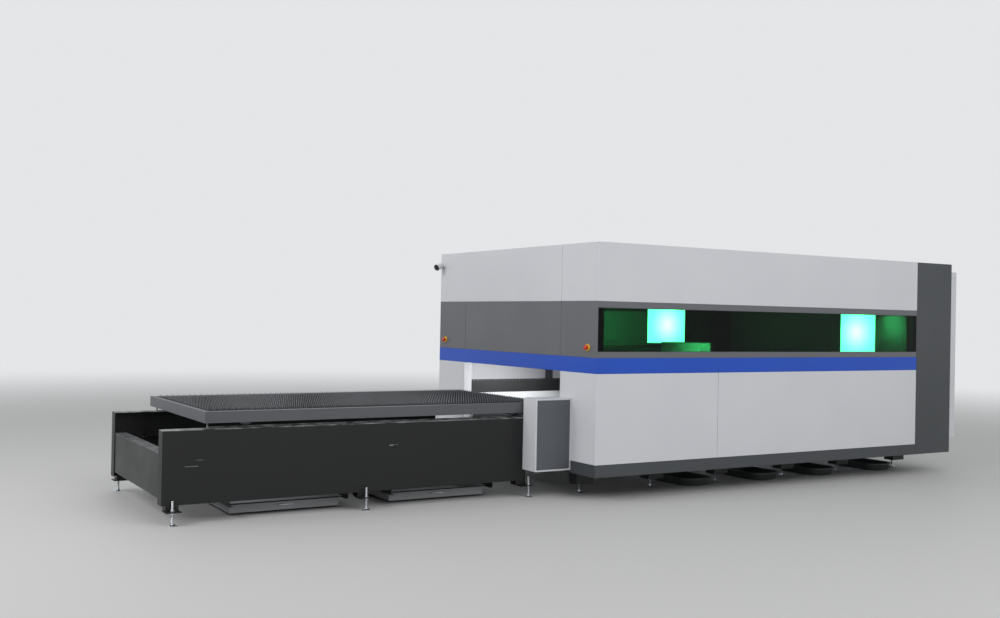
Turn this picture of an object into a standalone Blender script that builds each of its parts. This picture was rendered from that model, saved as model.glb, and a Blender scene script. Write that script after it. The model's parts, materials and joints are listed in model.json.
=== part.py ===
# Fiber laser cutting machine with an exchange table.
# Metres, +Z up. Pieces are placed from the enclosure's front left corner on the floor:
# X runs along the machine, Y from the operator's side to the rear. One empty moves that
# corner so that the model's origin is on the floor under the middle of its box.
import math

import bmesh
import bpy
from mathutils import Matrix, Vector

# Fits shared by all pieces
SEAT_GAP = 0.0003
SEAM = 0.003
OVERRUN = 0.01
SHEET = 0.003
FOLD = 0.025

# Enclosure, driving sizes
ENCLOSURE_WIDTH = 2.852
ENCLOSURE_HEIGHT = 2.25
BODY_LENGTH = 4.196
TAIL_LENGTH = 0.564
SKIRT_BOTTOM = 0.215
SKIRT_TOP = 0.323
STRIPE_BOTTOM = 1.108
STRIPE_TOP = 1.245
BAND_TOP = 1.738
CORNER_WIDTH = 0.554
FRONT_SEAM_X = 1.397
WINDOW_BOTTOM = 1.299
WINDOW_TOP = 1.682
WINDOW_END_MARGIN = 0.005
PANE_THICKNESS = 0.006
PANE_LAP = 0.02

# Enclosure frame of square tube
TUBE = 0.06
OUTRIGGER_X = (0.62, 2.32, 3.95, 4.42)

# Bed
BED_BEAM_FRONT_Y = 0.40
BED_BEAM_WIDTH = 0.17
BED_BEAM_BOTTOM = 0.48
BED_BEAM_TOP = 0.79
BED_BEAM_END_X = 4.10
BED_SILL_WIDTH = 0.12
BED_SILL_BOTTOM = 0.20
BED_SILL_END_X = 4.65
BED_LEG_LENGTH = 0.12
BED_CROSS_LENGTH = 0.08
BED_CROSS_HEIGHT = 0.08
BED_FOOT_X = (0.222, 1.05, 1.87, 2.78, 3.60, 4.50)
BED_FOOT_BLOCK_LENGTH = 0.18
BED_FOOT_BLOCK_WIDTH = 0.119
BED_FOOT_BLOCK_BOTTOM = 0.087
BED_FOOT_Y = 0.539

# Levelling feet
STUD_RADIUS = 0.008
STUD_SIDES = 8
FOOT_DISC_RADIUS = 0.036
FOOT_DISC_HEIGHT = 0.012
FOOT_DISC_SIDES = 10
FOOT_NUT_RADIUS = 0.0155
FOOT_NUT_HEIGHT = 0.012
NUT_SIDES = 6

# Gantry ways on the bed
WAY_RAIL_WIDTH = 0.025
WAY_RAIL_HEIGHT = 0.025
WAY_RAIL_Y = 0.485
WAY_RAIL_START_X = 0.12
RACK_WIDTH = 0.024
RACK_HEIGHT = 0.02
RACK_SEAT = 0.004
GUARD_Y = 0.539
GUARD_TOP = 0.927

# Gantry, carriage and head, as parked
GANTRY_X = 2.46
GANTRY_HALF_LENGTH = 0.12
GANTRY_BOTTOM = 1.0
GANTRY_TOP = 1.25
GANTRY_END_Y = 0.42
GANTRY_SHOE_HALF_LENGTH = 0.22
GANTRY_SHOE_WIDTH = 0.11
CROSS_RAIL_DEPTH = 0.015
CROSS_RAIL_HEIGHT = 0.02
CROSS_RAIL_Z = (1.06, 1.19)
CROSS_RAIL_END_Y = 0.47
CARRIAGE_Y = 1.29
CARRIAGE_PLATE = 0.02
CARRIAGE_PLATE_HALF_WIDTH = 0.2
CARRIAGE_PLATE_BOTTOM = 1.03
CARRIAGE_PLATE_TOP = 1.22
COVER_HALF_WIDTH = 0.31
COVER_BOTTOM = 1.10
COVER_TOP = 1.35
COVER_DEPTH = 0.265
Z_SLIDE_DEPTH = 0.04
Z_SLIDE_HALF_WIDTH = 0.06
Z_SLIDE_BOTTOM = 0.985
Z_SLIDE_TOP = 1.30
HEAD_BODY_DEPTH = 0.10
HEAD_BODY_HALF_WIDTH = 0.045
HEAD_BODY_BOTTOM = 1.085
HEAD_BODY_TOP = 1.28
HEAD_BARREL_RADIUS = 0.034
HEAD_BARREL_BOTTOM = 1.035
HEAD_CONE_BOTTOM = 1.005
HEAD_CONE_END_RADIUS = 0.012
NOZZLE_BOTTOM = 0.99
NOZZLE_RADIUS = 0.007
HEAD_SIDES = 18

# Lamps inside the enclosure
LAMP_DEPTH = 0.04
REAR_LAMP_LEFT_X = 2.80
REAR_LAMP_RIGHT_X = 3.35
REAR_LAMP_BOTTOM = 1.31
REAR_LAMP_TOP = 1.75
TAIL_LAMP_FRONT_Y = 0.50
TAIL_LAMP_REAR_Y = 0.94
TAIL_LAMP_BOTTOM = 1.23
TAIL_LAMP_TOP = 1.75

# Table base outside the enclosure
BASE_LEFT_X = -3.519
BASE_RIGHT_X = -0.343
BASE_FRONT_Y = 0.569
BASE_PLATE = 0.006
BASE_BOTTOM = 0.143
BASE_TOP = 0.698
BASE_FLANGE = 0.11
BASE_LOWER_FLANGE = 0.04
BASE_LEG_LENGTH = 0.098
BASE_LEG_WIDTH = 0.09
BASE_LEG_BOTTOM = 0.105
BASE_LEG_X = (-3.439, -1.905, -0.392)
BASE_STUD_X = (-3.446, -1.894, -0.334)
BASE_STUD_Y = 0.529
BASE_STUD_TOP = 0.185
BASE_PAD_LENGTH = 0.116
BASE_PAD_FRONT_Y = 0.50
BASE_PAD_DEPTH = 0.12
BASE_PAD_HEIGHT = 0.008
END_PLATE_BOTTOM = 0.185
END_PLATE_TOP = 0.52
END_PLATE_FLANGE = 0.10

# Rails that the pallets roll on
RAIL_TOP = 0.7067
RAIL_INNER_Y = 0.679
RAIL_WIDTH = 0.029
LEDGE_HEIGHT = 0.012
RAIL_STOP_X = -3.158
RAIL_STOP_LENGTH = 0.006
RAIL_STOP_TOP = 0.731
LOWER_RAIL_START_X = -3.25
BED_LEDGE_END_X = 3.35
LEVEL_DROP = 0.21

# Pallets
PALLET_LEFT_X = -3.202
PALLET_RIGHT_X = -0.08
PALLET_FRONT_Y = 0.589
PALLET_BOTTOM = 0.740
PALLET_TOP = 0.826
PALLET_SIDE_WIDTH = 0.06
PALLET_END_WIDTH = 0.04
PALLET_CROSS_WIDTH = 0.05
PALLET_CROSS_HEIGHT = 0.0257
PALLET_CROSS_SHARES = (0.2, 0.4, 0.6, 0.8)
PALLET_TRAVEL = 3.30
LUG_X = (-2.072, -1.163)
LUG_LENGTH = 0.03
LUG_HEIGHT = 0.014
LUG_RISE = 0.006
LUG_DEPTH = 0.003
WHEEL_RADIUS = 0.048
WHEEL_WIDTH = 0.025
WHEEL_SIDES = 18
WHEEL_SIDE_GAP = 0.0025
AXLE_RADIUS = 0.010
AXLE_SIDES = 12
WHEELSET_INSET = 0.34

# Slats that carry the sheet
SLAT_PITCH = 0.06
SLAT_THICKNESS = 0.004
SLAT_HEIGHT = 0.075
SLAT_END_CLEARANCE = 0.01
TOOTH_HEIGHT = 0.032
UPPER_TEETH = 12
LOWER_TEETH = 0
COMB_THICKNESS = 0.006
COMB_HEIGHT = 0.054
COMB_INSET = 0.101
SLAT_LIFT = 0.004

# Scrap trays that slide out under the base
TRAY_CENTRE_X = (-2.4985, -1.135)
TRAY_HALF_WIDTH = 0.455
TRAY_FRONT_Y = 0.74
TRAY_DEPTH = 1.10
TRAY_BOTTOM = 0.02
TRAY_TOP = 0.095
TRAY_LIP = 0.03
RUNNER_THICKNESS = 0.004
RUNNER_LEDGE = 0.025
RUNNER_START_Y = 0.63
RUNNER_END_Y = 1.95
BASE_CROSS_WIDTH = 0.05
BASE_CROSS_BOTTOM = 0.1493
BASE_CROSS_TOP = 0.20
HANDLE_HALF_WIDTH = 0.07
HANDLE_REACH = 0.03
HANDLE_BAR = 0.01
HANDLE_CENTRE_Z = 0.06

# Drive box at the end face
DRIVE_BOX_LENGTH = 0.375
DRIVE_BOX_FRONT_Y = 0.365
DRIVE_BOX_BOTTOM = 0.24
DRIVE_BOX_TOP = 0.875
DRIVE_DOOR_BORDER = 0.014
DRIVE_DOOR_GAP = 0.0015
DRIVE_DOOR_THICKNESS = 0.012
MOTOR_RADIUS = 0.062
MOTOR_LENGTH = 0.20
MOTOR_SIDES = 16
MOTOR_BOTTOM = 0.36
GEARBOX_HALF_WIDTH = 0.075
GEARBOX_DEPTH = 0.13
GEARBOX_HEIGHT = 0.12

# Bins on the floor under the bed
BIN_X = (1.54, 2.45, 3.27, 4.17)
BIN_LENGTH = 0.38
BIN_WIDTH = 0.60
BIN_FRONT_Y = 0.36
BIN_HEIGHT = 0.07
BIN_CORNER = 0.15
BIN_WALL = 0.006
BIN_CORNER_STEPS = 3

# Cabinet on the tail
CABINET_DEPTH = 0.11
CABINET_FRONT_Y = 0.04
CABINET_WIDTH = 0.95
CABINET_BOTTOM = 0.366
CABINET_TOP = 2.17
CABINET_DOOR_THICKNESS = 0.03
CABINET_DOOR_INSET = 0.001
CABINET_HANDLE_REACH = 0.02
CABINET_HANDLE_LENGTH = 0.16
CABINET_HANDLE_WIDTH = 0.024
CABINET_HANDLE_INSET = 0.06
CABINET_HANDLE_Z = 1.20

# Emergency stops
ESTOP_Y = 0.134
ESTOP_Z = 1.333
ESTOP_BOSS_RADIUS = 0.031
ESTOP_BOSS_DEPTH = 0.012
ESTOP_STEM_RADIUS = 0.011
ESTOP_STEM_CLEARANCE = 0.0005
ESTOP_STEM_INNER_X = -0.005
ESTOP_CAP_BACK_X = -0.022
ESTOP_CAP_DEPTH = 0.018
ESTOP_CAP_RADIUS = 0.021
ESTOP_CAP_FACE_RADIUS = 0.016
ESTOP_SIDES = 20

# Bullet camera at the far top corner
CAMERA_BASE_Y = 2.79
CAMERA_BASE_Z = 2.12
CAMERA_BASE_RADIUS = 0.028
CAMERA_BASE_DEPTH = 0.012
CAMERA_ARM_RADIUS = 0.009
CAMERA_ARM_LENGTH = 0.065
CAMERA_BODY_RADIUS = 0.03
CAMERA_BODY_LENGTH = 0.14
CAMERA_BODY_BACK_SHARE = 0.4
CAMERA_PAN_DEG = 24.0
CAMERA_DIP_DEG = 18.0
CAMERA_SIDES = 16

# Worked out from the sizes above
FRAME_SET = FOLD + SEAT_GAP
MACHINE_LENGTH = BODY_LENGTH + TAIL_LENGTH
MID_Y = ENCLOSURE_WIDTH / 2
POST_X = (FRAME_SET + TUBE / 2, FRONT_SEAM_X, BODY_LENGTH, MACHINE_LENGTH - FRAME_SET - TUBE / 2)
FRAME_TOP = ENCLOSURE_HEIGHT - FRAME_SET
RAIL_LEVELS = (SKIRT_TOP, STRIPE_TOP, BAND_TOP, FRAME_TOP - TUBE / 2)
CABINET_FRONT_X = MACHINE_LENGTH + SEAT_GAP
CABINET_DOOR_X = CABINET_FRONT_X + CABINET_DEPTH + SEAT_GAP
RIGHT_X = CABINET_DOOR_X + CABINET_DOOR_THICKNESS + CABINET_HANDLE_REACH
RING_BOTTOM = SKIRT_TOP - TUBE / 2
RING_TOP = SKIRT_TOP + TUBE / 2
BED_SILL_TOP = RING_BOTTOM - SEAT_GAP
BED_START_X = FRAME_SET + TUBE + SEAT_GAP
BED_INNER_Y = BED_BEAM_FRONT_Y + BED_BEAM_WIDTH
BED_SILL_FRONT_Y = BED_INNER_Y - BED_SILL_WIDTH
BASE_INNER_Y = BASE_FRONT_Y + BASE_PLATE
WHEEL_Z = RAIL_TOP + SEAT_GAP + WHEEL_RADIUS
PALLET_INNER_Y = PALLET_FRONT_Y + PALLET_SIDE_WIDTH
WHEEL_FRONT_Y = PALLET_INNER_Y + WHEEL_SIDE_GAP
SLAT_BOTTOM = PALLET_BOTTOM + PALLET_CROSS_HEIGHT + SEAT_GAP + SLAT_LIFT
GANTRY_SHOE_BOTTOM = BED_BEAM_TOP + WAY_RAIL_HEIGHT + SEAT_GAP
CROSS_RAIL_X = GANTRY_X - GANTRY_HALF_LENGTH - CROSS_RAIL_DEPTH
CARRIAGE_BACK_X = CROSS_RAIL_X - SEAT_GAP
COVER_BACK_X = CARRIAGE_BACK_X - CARRIAGE_PLATE
Z_SLIDE_BACK_X = COVER_BACK_X - SHEET - SEAT_GAP
HEAD_BACK_X = Z_SLIDE_BACK_X - Z_SLIDE_DEPTH - SEAT_GAP
HEAD_X = HEAD_BACK_X - HEAD_BODY_DEPTH / 2
TAIL_WALL_X = BODY_LENGTH - TUBE / 2 - SEAT_GAP - FOLD


def new_collection(name):
    collection = bpy.data.collections.new(name)
    bpy.context.scene.collection.children.link(collection)
    return collection


for leftover in list(bpy.data.objects):
    bpy.data.objects.remove(leftover, do_unlink=True)
PARTS = new_collection("fiber_laser_cutting_machine")
CUTTERS = new_collection("cutters")

ORIGIN = bpy.data.objects.new("machine_origin", None)
ORIGIN.location = (-(BASE_LEFT_X + RIGHT_X) / 2, -MID_Y, 0)
PARTS.objects.link(ORIGIN)


def finish(name, colour, roughness, metallic=0.0, alpha=1.0):
    material = bpy.data.materials.new(name)
    material.use_nodes = True
    shader = material.node_tree.nodes["Principled BSDF"]
    shader.inputs["Base Color"].default_value = (*colour, 1)
    shader.inputs["Roughness"].default_value = roughness
    shader.inputs["Metallic"].default_value = metallic
    shader.inputs["Alpha"].default_value = alpha
    material.diffuse_color = (*colour, alpha)
    return material


WHITE_PAINT = finish("white_powder_coat", (0.62, 0.63, 0.65), 0.45)
GREY_PAINT = finish("grey_powder_coat", (0.12, 0.12, 0.13), 0.5)
DARK_PAINT = finish("dark_grey_powder_coat", (0.055, 0.058, 0.062), 0.5)
BLUE_PAINT = finish("blue_enamel", (0.01, 0.075, 0.43), 0.4)
BLACK_PAINT = finish("black_enamel", (0.012, 0.013, 0.014), 0.5)
PALLET_PAINT = finish("pallet_grey_enamel", (0.095, 0.1, 0.105), 0.55)
SLAT_STEEL = finish("mild_steel_slat", (0.03, 0.032, 0.034), 0.6, 0.6)
RAIL_STEEL = finish("ground_steel", (0.55, 0.56, 0.58), 0.25, 1.0)
GREEN_GLASS = finish("laser_safety_glass", (0.005, 0.10, 0.045), 0.08, 0.0, 0.45)
TRAY_STEEL = finish("tray_steel", (0.10, 0.105, 0.11), 0.5, 0.3)
LAMP_WHITE = finish("lamp_diffuser", (0.9, 0.95, 0.95), 0.4)
STOP_RED = finish("red_plastic", (0.55, 0.015, 0.01), 0.35)
BIN_PLASTIC = finish("bin_plastic", (0.03, 0.035, 0.035), 0.45)


def box_mesh(low, high):
    low, high = Vector(low), Vector(high)
    shape = bmesh.new()
    bmesh.ops.create_cube(shape, size=1)
    bmesh.ops.scale(shape, vec=high - low, verts=shape.verts)
    bmesh.ops.translate(shape, vec=(low + high) / 2, verts=shape.verts)
    mesh = bpy.data.meshes.new("box")
    shape.to_mesh(mesh)
    shape.free()
    return mesh


AXIS_TURNS = {
    "X": Matrix.Rotation(math.pi / 2, 4, "Y"),
    "Y": Matrix.Rotation(-math.pi / 2, 4, "X"),
    "Z": Matrix.Identity(4),
}


def round_mesh(axis, start, length, radius, sides, end_radius=None):
    """A cylinder or cone that grows from start along an axis, or along a turn matrix."""
    turn = AXIS_TURNS[axis] if isinstance(axis, str) else axis
    shape = bmesh.new()
    far_radius = radius if end_radius is None else end_radius
    place = Matrix.Translation(start) @ turn @ Matrix.Translation((0, 0, length / 2))
    bmesh.ops.create_cone(shape, cap_ends=True, segments=sides, radius1=radius, radius2=far_radius,
                          depth=length, matrix=place)
    mesh = bpy.data.meshes.new("round")
    shape.to_mesh(mesh)
    shape.free()
    for face in mesh.polygons:
        face.use_smooth = True
    mesh.set_sharp_from_angle(angle=math.radians(50))
    return mesh


PLANE_TURNS = {
    "XY": Matrix.Identity(4),
    "XZ": Matrix.Rotation(math.pi / 2, 4, "X"),
    "YZ": Matrix(((0, 0, 1, 0), (1, 0, 0, 0), (0, 1, 0, 0), (0, 0, 0, 1))),
}


def outline_mesh(points, plane, low, high):
    """A flat outline in a plane, filled and given thickness from low to high across it."""
    curve = bpy.data.curves.new("outline", "CURVE")
    curve.dimensions = "2D"
    curve.fill_mode = "BOTH"
    curve.extrude = (high - low) / 2
    spline = curve.splines.new("POLY")
    spline.points.add(len(points) - 1)
    for knot, point in zip(spline.points, points):
        knot.co = (point[0], point[1], 0, 1)
    spline.use_cyclic_u = True
    guide = bpy.data.objects.new("outline_guide", curve)
    CUTTERS.objects.link(guide)
    bpy.context.view_layer.update()
    seen = guide.evaluated_get(bpy.context.evaluated_depsgraph_get())
    mesh = bpy.data.meshes.new_from_object(seen)
    bpy.data.objects.remove(guide, do_unlink=True)
    shape = bmesh.new()
    shape.from_mesh(mesh)
    bmesh.ops.remove_doubles(shape, verts=shape.verts, dist=SEAT_GAP / 3)
    bmesh.ops.recalc_face_normals(shape, faces=shape.faces)
    shape.to_mesh(mesh)
    shape.free()
    middle = (low + high) / 2
    shift = {"XY": (0, 0, middle), "XZ": (0, middle, 0), "YZ": (middle, 0, 0)}[plane]
    mesh.transform(Matrix.Translation(shift) @ PLANE_TURNS[plane])
    return mesh


def mirrored(mesh):
    """The same mesh on the rear side, mirrored across the machine's middle plane."""
    twin = mesh.copy()
    twin.transform(Matrix.Translation((0, MID_Y, 0)) @ Matrix.Scale(-1, 4, (0, 1, 0))
                   @ Matrix.Translation((0, -MID_Y, 0)))
    twin.flip_normals()
    return twin


def shifted(mesh, move):
    twin = mesh.copy()
    twin.transform(Matrix.Translation(move))
    return twin


def tool(mesh, group):
    item = bpy.data.objects.new("tool", mesh)
    item.parent = ORIGIN
    item.hide_render = True
    item.display_type = "WIRE"
    group.objects.link(item)


def combine(part, meshes, operation):
    group = bpy.data.collections.new(part.name + "_" + operation.lower())
    CUTTERS.children.link(group)
    for mesh in meshes:
        tool(mesh, group)
    step = part.modifiers.new(operation.lower(), "BOOLEAN")
    step.operation = operation
    step.operand_type = "COLLECTION"
    step.collection = group
    step.solver = "EXACT"


def piece(name, mesh, surface, pivot=None, joined=(), cut=()):
    """One sub-part: its mesh is moved so that the object's origin is on its pivot."""
    if pivot is None:
        pivot = sum((Vector(corner.co) for corner in mesh.vertices), Vector()) / len(mesh.vertices)
    mesh.transform(Matrix.Translation(-Vector(pivot)))
    mesh.name = name
    part = bpy.data.objects.new(name, mesh)
    part.location = pivot
    part.parent = ORIGIN
    part.data.materials.append(surface)
    PARTS.objects.link(part)
    if joined:
        combine(part, joined, "UNION")
    if cut:
        combine(part, cut, "DIFFERENCE")
    return part


OPEN_SIDES = {"+X": (1, 0, 0), "-X": (-1, 0, 0), "+Y": (0, 1, 0), "-Y": (0, -1, 0),
              "+Z": (0, 0, 1), "-Z": (0, 0, -1)}


def pan_mesh(low, high, open_side, wall=SHEET):
    """A folded sheet pan: a box without one side, its wall inside the given corners."""
    mesh = box_mesh(low, high)
    shape = bmesh.new()
    shape.from_mesh(mesh)
    gone = [face for face in shape.faces if face.normal.dot(Vector(OPEN_SIDES[open_side])) > 0.9]
    bmesh.ops.delete(shape, geom=gone, context="FACES")
    shape.to_mesh(mesh)
    shape.free()
    guide = bpy.data.objects.new("pan_guide", mesh)
    CUTTERS.objects.link(guide)
    wall_step = guide.modifiers.new("wall", "SOLIDIFY")
    wall_step.thickness = wall
    wall_step.offset = -1
    wall_step.use_even_offset = True
    bpy.context.view_layer.update()
    seen = guide.evaluated_get(bpy.context.evaluated_depsgraph_get())
    solid = bpy.data.meshes.new_from_object(seen)
    bpy.data.objects.remove(guide, do_unlink=True)
    return solid


def pan(name, low, high, open_side, surface, joined=(), cut=()):
    return piece(name, pan_mesh(low, high, open_side), surface, joined=joined, cut=cut)


def rear_y(y):
    """The place on the rear side that mirrors a front one."""
    return ENCLOSURE_WIDTH - y


def front_panels():
    right = BODY_LENGTH - SEAM / 2
    pan("front_upper_panel", (0, 0, BAND_TOP + SEAT_GAP), (right, FOLD, ENCLOSURE_HEIGHT), "+Y", WHITE_PAINT)
    window = box_mesh((WINDOW_END_MARGIN, -OVERRUN, WINDOW_BOTTOM),
                      (right - WINDOW_END_MARGIN, SHEET + OVERRUN / 10, WINDOW_TOP))
    pan("front_window_band", (0, 0, STRIPE_TOP + SEAT_GAP), (right, FOLD, BAND_TOP), "+Y", GREY_PAINT,
        cut=[window])
    piece("front_window_pane",
          box_mesh((SHEET + SEAT_GAP, SHEET + SEAT_GAP, WINDOW_BOTTOM - PANE_LAP),
                   (right - SHEET - SEAT_GAP, SHEET + SEAT_GAP + PANE_THICKNESS, WINDOW_TOP + PANE_LAP)),
          GREEN_GLASS)
    pan("front_blue_stripe", (0, 0, STRIPE_BOTTOM + SEAT_GAP), (right, FOLD, STRIPE_TOP), "+Y", BLUE_PAINT)
    pan("front_lower_panel_left", (0, 0, SKIRT_TOP + SEAT_GAP),
        (FRONT_SEAM_X - SEAM / 2, FOLD, STRIPE_BOTTOM), "+Y", WHITE_PAINT)
    pan("front_lower_panel_right", (FRONT_SEAM_X + SEAM / 2, 0, SKIRT_TOP + SEAT_GAP),
        (right, FOLD, STRIPE_BOTTOM), "+Y", WHITE_PAINT)


def rear_panels():
    right = BODY_LENGTH - SEAM / 2
    levels = (("rear_lower_panel", SKIRT_TOP, STRIPE_BOTTOM, WHITE_PAINT),
              ("rear_blue_stripe", STRIPE_BOTTOM, STRIPE_TOP, BLUE_PAINT),
              ("rear_band_panel", STRIPE_TOP, BAND_TOP, GREY_PAINT),
              ("rear_upper_panel", BAND_TOP, ENCLOSURE_HEIGHT, WHITE_PAINT))
    for name, bottom, top, surface in levels:
        pan(name, (0, rear_y(FOLD), bottom + SEAT_GAP), (right, ENCLOSURE_WIDTH, top), "-Y", surface)


def corner_strip(points):
    """A strip of sheet bent along a chain of points, seen from above, as one closed outline."""
    inner = []
    for before, here, after in zip([None] + points[:-1], points, points[1:] + [None]):
        steps = [Vector(b) - Vector(a) for a, b in ((before, here), (here, after)) if a and b]
        normals = [Vector((-step.y, step.x)).normalized() for step in steps]
        inset = normals[0] if len(normals) == 1 else normals[0] + normals[1]
        inner.append(tuple(Vector(here) + inset * SHEET))
    return points + inner[::-1]


def skirt(name, rear):
    points = [(FOLD, CORNER_WIDTH), (0, CORNER_WIDTH), (0, 0), (BODY_LENGTH - SEAM / 2, 0),
              (BODY_LENGTH - SEAM / 2, FOLD)]
    mesh = outline_mesh(corner_strip(points), "XY", SKIRT_BOTTOM, SKIRT_TOP)
    piece(name, mirrored(mesh) if rear else mesh, DARK_PAINT)


def tail_panel(name, rear):
    """Front or rear half of the tail's skin, folded round the corner to the middle of the end."""
    left = BODY_LENGTH + SEAM / 2
    middle = MID_Y - SEAM / 2
    points = [(left, FOLD), (left, 0), (MACHINE_LENGTH, 0), (MACHINE_LENGTH, middle),
              (MACHINE_LENGTH - FOLD, middle)]
    skin = outline_mesh(corner_strip(points), "XY", SKIRT_BOTTOM, ENCLOSURE_HEIGHT)
    top = [box_mesh((left, 0, ENCLOSURE_HEIGHT - SHEET), (MACHINE_LENGTH, FOLD, ENCLOSURE_HEIGHT)),
           box_mesh((MACHINE_LENGTH - FOLD, 0, ENCLOSURE_HEIGHT - SHEET),
                    (MACHINE_LENGTH, middle, ENCLOSURE_HEIGHT))]
    if rear:
        skin = mirrored(skin)
        top = [mirrored(mesh) for mesh in top]
    piece(name, skin, DARK_PAINT, joined=top)


def estop_boss(y):
    return round_mesh("X", (-ESTOP_BOSS_DEPTH, y, ESTOP_Z), ESTOP_BOSS_DEPTH + SHEET / 2,
                      ESTOP_BOSS_RADIUS, ESTOP_SIDES)


def estop_hole(y):
    return round_mesh("X", (-ESTOP_BOSS_DEPTH - OVERRUN, y, ESTOP_Z), ESTOP_BOSS_DEPTH + SHEET + 2 * OVERRUN,
                      ESTOP_STEM_RADIUS + ESTOP_STEM_CLEARANCE, ESTOP_SIDES)


def end_panels():
    near = FOLD + SEAT_GAP
    first_seam = CORNER_WIDTH
    second_seam = rear_y(CORNER_WIDTH)
    pan("end_upper_panel_front", (0, near, BAND_TOP + SEAT_GAP),
        (FOLD, first_seam - SEAM / 2, ENCLOSURE_HEIGHT), "+X", WHITE_PAINT)
    pan("end_upper_panel_rear", (0, first_seam + SEAM / 2, BAND_TOP + SEAT_GAP),
        (FOLD, rear_y(near), ENCLOSURE_HEIGHT), "+X", WHITE_PAINT)
    band = (STRIPE_TOP + SEAT_GAP, BAND_TOP)
    pan("end_band_front", (0, near, band[0]), (FOLD, first_seam - SEAM / 2, band[1]), "+X", GREY_PAINT,
        joined=[estop_boss(ESTOP_Y)], cut=[estop_hole(ESTOP_Y)])
    pan("end_band_centre", (0, first_seam + SEAM / 2, band[0]), (FOLD, second_seam - SEAM / 2, band[1]),
        "+X", GREY_PAINT)
    pan("end_band_rear", (0, second_seam + SEAM / 2, band[0]), (FOLD, rear_y(near), band[1]), "+X",
        GREY_PAINT, joined=[estop_boss(rear_y(ESTOP_Y))], cut=[estop_hole(rear_y(ESTOP_Y))])
    pan("end_blue_stripe", (0, near, STRIPE_BOTTOM + SEAT_GAP), (FOLD, rear_y(near), STRIPE_TOP), "+X",
        BLUE_PAINT)
    pan("end_lower_panel_front", (0, near, SKIRT_TOP + SEAT_GAP), (FOLD, first_seam, STRIPE_BOTTOM), "+X",
        WHITE_PAINT)
    pan("end_lower_panel_rear", (0, second_seam, SKIRT_TOP + SEAT_GAP), (FOLD, rear_y(near), STRIPE_BOTTOM),
        "+X", WHITE_PAINT)


def estop_button(name, y):
    stem_length = ESTOP_STEM_INNER_X - ESTOP_CAP_BACK_X
    stem = round_mesh("X", (ESTOP_CAP_BACK_X - ESTOP_CAP_DEPTH / 2, y, ESTOP_Z),
                      stem_length + ESTOP_CAP_DEPTH / 2, ESTOP_STEM_RADIUS, ESTOP_SIDES)
    cap = round_mesh("X", (ESTOP_CAP_BACK_X - ESTOP_CAP_DEPTH, y, ESTOP_Z), ESTOP_CAP_DEPTH,
                     ESTOP_CAP_FACE_RADIUS, ESTOP_SIDES, ESTOP_CAP_RADIUS)
    piece(name, cap, STOP_RED, pivot=(ESTOP_CAP_BACK_X, y, ESTOP_Z), joined=[stem])


def roof():
    pan("roof_panel", (FRAME_SET, FRAME_SET, ENCLOSURE_HEIGHT - FOLD),
        (MACHINE_LENGTH - FRAME_SET, rear_y(FRAME_SET), ENCLOSURE_HEIGHT), "-Z", WHITE_PAINT)


def tail_wall():
    side = FRAME_SET + TUBE + SEAT_GAP
    pan("tail_wall", (TAIL_WALL_X, side, RING_TOP + SEAT_GAP),
        (TAIL_WALL_X + FOLD, rear_y(side), ENCLOSURE_HEIGHT - side), "+X", WHITE_PAINT)


def wall_frame(name, rear):
    """The welded ladder behind one long wall, with the arms that bolt to the bed."""
    low, near = FRAME_SET, FRAME_SET + TUBE
    right = MACHINE_LENGTH - FRAME_SET
    tubes = [box_mesh((x - TUBE / 2, low, RING_BOTTOM), (x + TUBE / 2, near, FRAME_TOP)) for x in POST_X]
    for z in RAIL_LEVELS:
        tubes.append(box_mesh((low, low, z - TUBE / 2), (right, near, z + TUBE / 2)))
    for x in OUTRIGGER_X:
        tubes.append(box_mesh((x - TUBE / 2, low, RING_BOTTOM), (x + TUBE / 2, BED_INNER_Y, RING_TOP)))
    if rear:
        tubes = [mirrored(tube) for tube in tubes]
        for x in POST_X[2:]:
            for z in RAIL_LEVELS:
                if z != STRIPE_TOP:
                    tubes.append(box_mesh((x - TUBE / 2, near + SEAT_GAP, z - TUBE / 2),
                                          (x + TUBE / 2, rear_y(low), z + TUBE / 2)))
    piece(name, tubes[0], DARK_PAINT, joined=tubes[1:])


def end_frame():
    """The portal round the table opening, between the two long frames."""
    low, near = FRAME_SET, FRAME_SET + TUBE
    start = near + SEAT_GAP
    tubes = [box_mesh((low, start, z - TUBE / 2), (near, rear_y(start), z + TUBE / 2))
             for z in RAIL_LEVELS[1:]]
    jamb = box_mesh((low, CORNER_WIDTH - TUBE, RING_BOTTOM), (near, CORNER_WIDTH, FRAME_TOP))
    sill = box_mesh((low, start, RING_BOTTOM), (near, CORNER_WIDTH, RING_TOP))
    tubes += [jamb, mirrored(jamb), sill, mirrored(sill)]
    piece("end_frame", tubes[0], DARK_PAINT, joined=tubes[1:])


def foot_meshes(x, y, top, plate_bottom, plate_top):
    """A levelling foot: disc, stud and a nut on each side of the plate that it carries."""
    meshes = [round_mesh("Z", (x, y, 0), FOOT_DISC_HEIGHT, FOOT_DISC_RADIUS, FOOT_DISC_SIDES,
                         FOOT_DISC_RADIUS - FOOT_DISC_HEIGHT),
              round_mesh("Z", (x, y, FOOT_DISC_HEIGHT / 2), top - FOOT_DISC_HEIGHT / 2, STUD_RADIUS,
                         STUD_SIDES),
              round_mesh("Z", (x, y, plate_bottom - FOOT_NUT_HEIGHT), FOOT_NUT_HEIGHT + OVERRUN / 10,
                         FOOT_NUT_RADIUS, NUT_SIDES)]
    if plate_top is not None:
        meshes.append(round_mesh("Z", (x, y, plate_top - OVERRUN / 10), FOOT_NUT_HEIGHT + OVERRUN / 10,
                                 FOOT_NUT_RADIUS, NUT_SIDES))
    return meshes


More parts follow.
